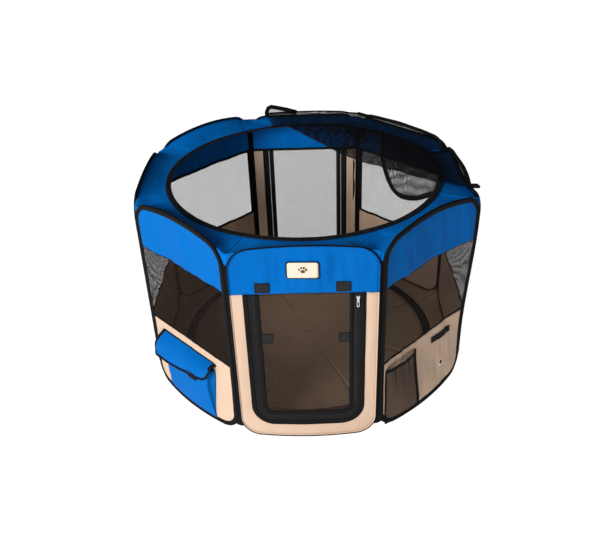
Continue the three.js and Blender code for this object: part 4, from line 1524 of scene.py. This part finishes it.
# The lower edge of the part that hangs inside: bearing from +X in degrees, and height in mm.
COVER_LOBE = ((-15, 566), (-8, 537), (-1, 503), (13, 446), (22, 410), (28, 392), (34, 383), (38, 385),
              (41, 393), (44, 417), (46, 445), (48, 485))


def lobe_edge(bearing):
    for (a, low), (b, high) in zip(COVER_LOBE, COVER_LOBE[1:]):
        if bearing <= b:
            return (low + (high - low) * (bearing - a) / (b - a)) * MM
    return COVER_LOBE[-1][1] * MM


def add_cover_lobe(index, wall, first, last):
    """The net that hangs down inside the pen under the rim, between two bearings in degrees."""
    columns, rows = 33, 21

    def bearing(c):
        return first + (last - first) * c / (columns - 1)

    def at(c, r):
        low = lobe_edge(bearing(c))
        share = r / (rows - 1)
        z = RIM_Z + 2 * MM + (low - RIM_Z - 2 * MM) * share
        turn = math.radians(bearing(c))
        radius = COVER_RADIUS - 3 * MM + 2.5 * MM * math.sin(turn * 17 + 1) * share
        radius += 10 * MM * share * (1 - share)
        return Vector((math.cos(turn) * radius, math.sin(turn) * radius, z))

    def flat(c, r):
        return COVER_RADIUS * math.radians(bearing(c)), at(c, r).z

    mesh = grid_mesh(f"cover_lobe_{wall}", columns, rows, at, flat)
    piece = finish_piece(mesh.name, mesh, M_COVER, body_of(wall), "net", ["roof_cover"])
    follow_fold(piece, index)
    path = [at(c, rows - 1) for c in range(columns)]
    if last > 45:
        path += [at(columns - 1, r) for r in range(rows - 2, 0, -1)]
    inwards = [-Vector((p.x, p.y, 0)).normalized() for p in path]
    edge = tape_along(f"cover_edge_{wall}", path, 17 * MM, 3 * MM, body_of(wall), inwards)
    follow_fold(edge, index)


def add_cover():
    spans = {"right": (COVER_MIDDLE - COVER_HALF - 2 * STEP, HALF_STEP),
             "back_right": (-HALF_STEP, HALF_STEP),
             "back": (-HALF_STEP, COVER_LEFT_END - 4 * STEP)}
    for wall, (first, last) in spans.items():
        index = WALLS.index(wall)
        add_cover_top(index, wall, first, last)
        width, thickness = (8 * MM, 4 * MM) if wall == "back" else (15 * MM, 9 * MM)
        add_cover_edge(index, wall, first, last, width, thickness)
    add_cover_loop()
    for wall, first, last in (("right", -15, 22.5), ("back_right", 22.5, 48)):
        add_cover_lobe(WALLS.index(wall), wall, first, last)


# ---------------------------------------------------------------- studio
def add_studio():
    mesh = bpy.data.meshes.new("floor")
    reach = 6.0
    corners = [(-reach, -reach, 0), (reach, -reach, 0), (reach, reach, 0), (-reach, reach, 0)]
    mesh.from_pydata(corners, [], [(0, 1, 2, 3)])
    floor = bpy.data.objects.new("studio_floor", mesh)
    bpy.context.scene.collection.objects.link(floor)
    floor.location.z = -0.5 * MM
    material, _, shader = new_material("studio_floor")
    shader.inputs["Base Color"].default_value = (0.15, 0.15, 0.15, 1)
    shader.inputs["Roughness"].default_value = 0.9
    shader.inputs["Emission Color"].default_value = (1, 1, 1, 1)
    shader.inputs["Emission Strength"].default_value = 0.98
    mesh.materials.append(material)

    world = bpy.data.worlds.new("studio")
    world.use_nodes = True
    world.node_tree.nodes["Background"].inputs[0].default_value = (1, 1, 1, 1)
    world.node_tree.nodes["Background"].inputs[1].default_value = 0.12
    bpy.context.scene.world = world
    bpy.context.scene.view_settings.view_transform = "Standard"
    add_lamp("key", -36, 24, 4.0, 1.6, 170)


def view_way(azimuth, elevation):
    """Out from the pen: azimuth from the front round to the right, and elevation, in radians."""
    level = math.cos(elevation)
    return Vector((math.sin(azimuth) * level, -math.cos(azimuth) * level, math.sin(elevation)))


def add_lamp(name, azimuth, elevation, distance, size, power):
    """A soft square lamp. Its angles are in degrees."""
    way = view_way(math.radians(azimuth), math.radians(elevation))
    light = bpy.data.lights.new(name, "AREA")
    light.size = size
    light.energy = power
    lamp = bpy.data.objects.new(name, light)
    bpy.context.scene.collection.objects.link(lamp)
    lamp.location = way * distance + UP * (HEIGHT / 2)
    lamp.rotation_euler = way.to_track_quat("Z", "Y").to_euler()


def add_camera():
    azimuth, elevation, roll = (math.radians(a) for a in (1.52, 31.88, -2.14))
    target, distance = Vector((-0.020, 0.0, 0.251)), 2.239
    back = view_way(azimuth, elevation)
    level = Vector((math.cos(azimuth), math.sin(azimuth), 0))
    upright = back.cross(level)
    right = level * math.cos(roll) + upright * math.sin(roll)
    up = upright * math.cos(roll) - level * math.sin(roll)
    data = bpy.data.cameras.new("camera")
    data.lens = 42.64
    data.sensor_width = 36.0
    camera = bpy.data.objects.new("camera", data)
    bpy.context.scene.collection.objects.link(camera)
    matrix = Matrix((right, up, back)).transposed().to_4x4()
    matrix.translation = target + back * distance
    camera.matrix_world = matrix
    bpy.context.scene.camera = camera


# ---------------------------------------------------------------- the whole pen
def add_wall(index, wall):
    add_sleeve(index, wall)
    add_wire(index, wall)
    add_band(f"upper_cloth_{wall}", index, wall, BAND_EDGE, HEIGHT - TUCK, M_BLUE, "blue_oxford",
             [f"upper_band_{wall}"])
    add_seam_tape(index, wall, BAND_EDGE, "upper_seam")
    add_corner(index)
    if has_door(index):
        add_door_wall(index, wall)
    else:
        add_window_wall(index, wall)
    add_roof_gore(index, wall)
    add_floor_sector(index, wall)


def build():
    add_camera()
    for index, wall in enumerate(WALLS):
        add_wall(index, wall)
    for side in ("left", "right"):
        add_hook_tab(f"hook_tab_band_{side}", "front_wall")
        add_hook_tab(f"hook_tab_flap_{side}", "front_door")
    add_label()
    add_slider()
    add_cargo_pocket()
    add_cargo_flap()
    add_bottle_pocket()
    add_front_right_fittings()
    add_cover()
    add_studio()


build()
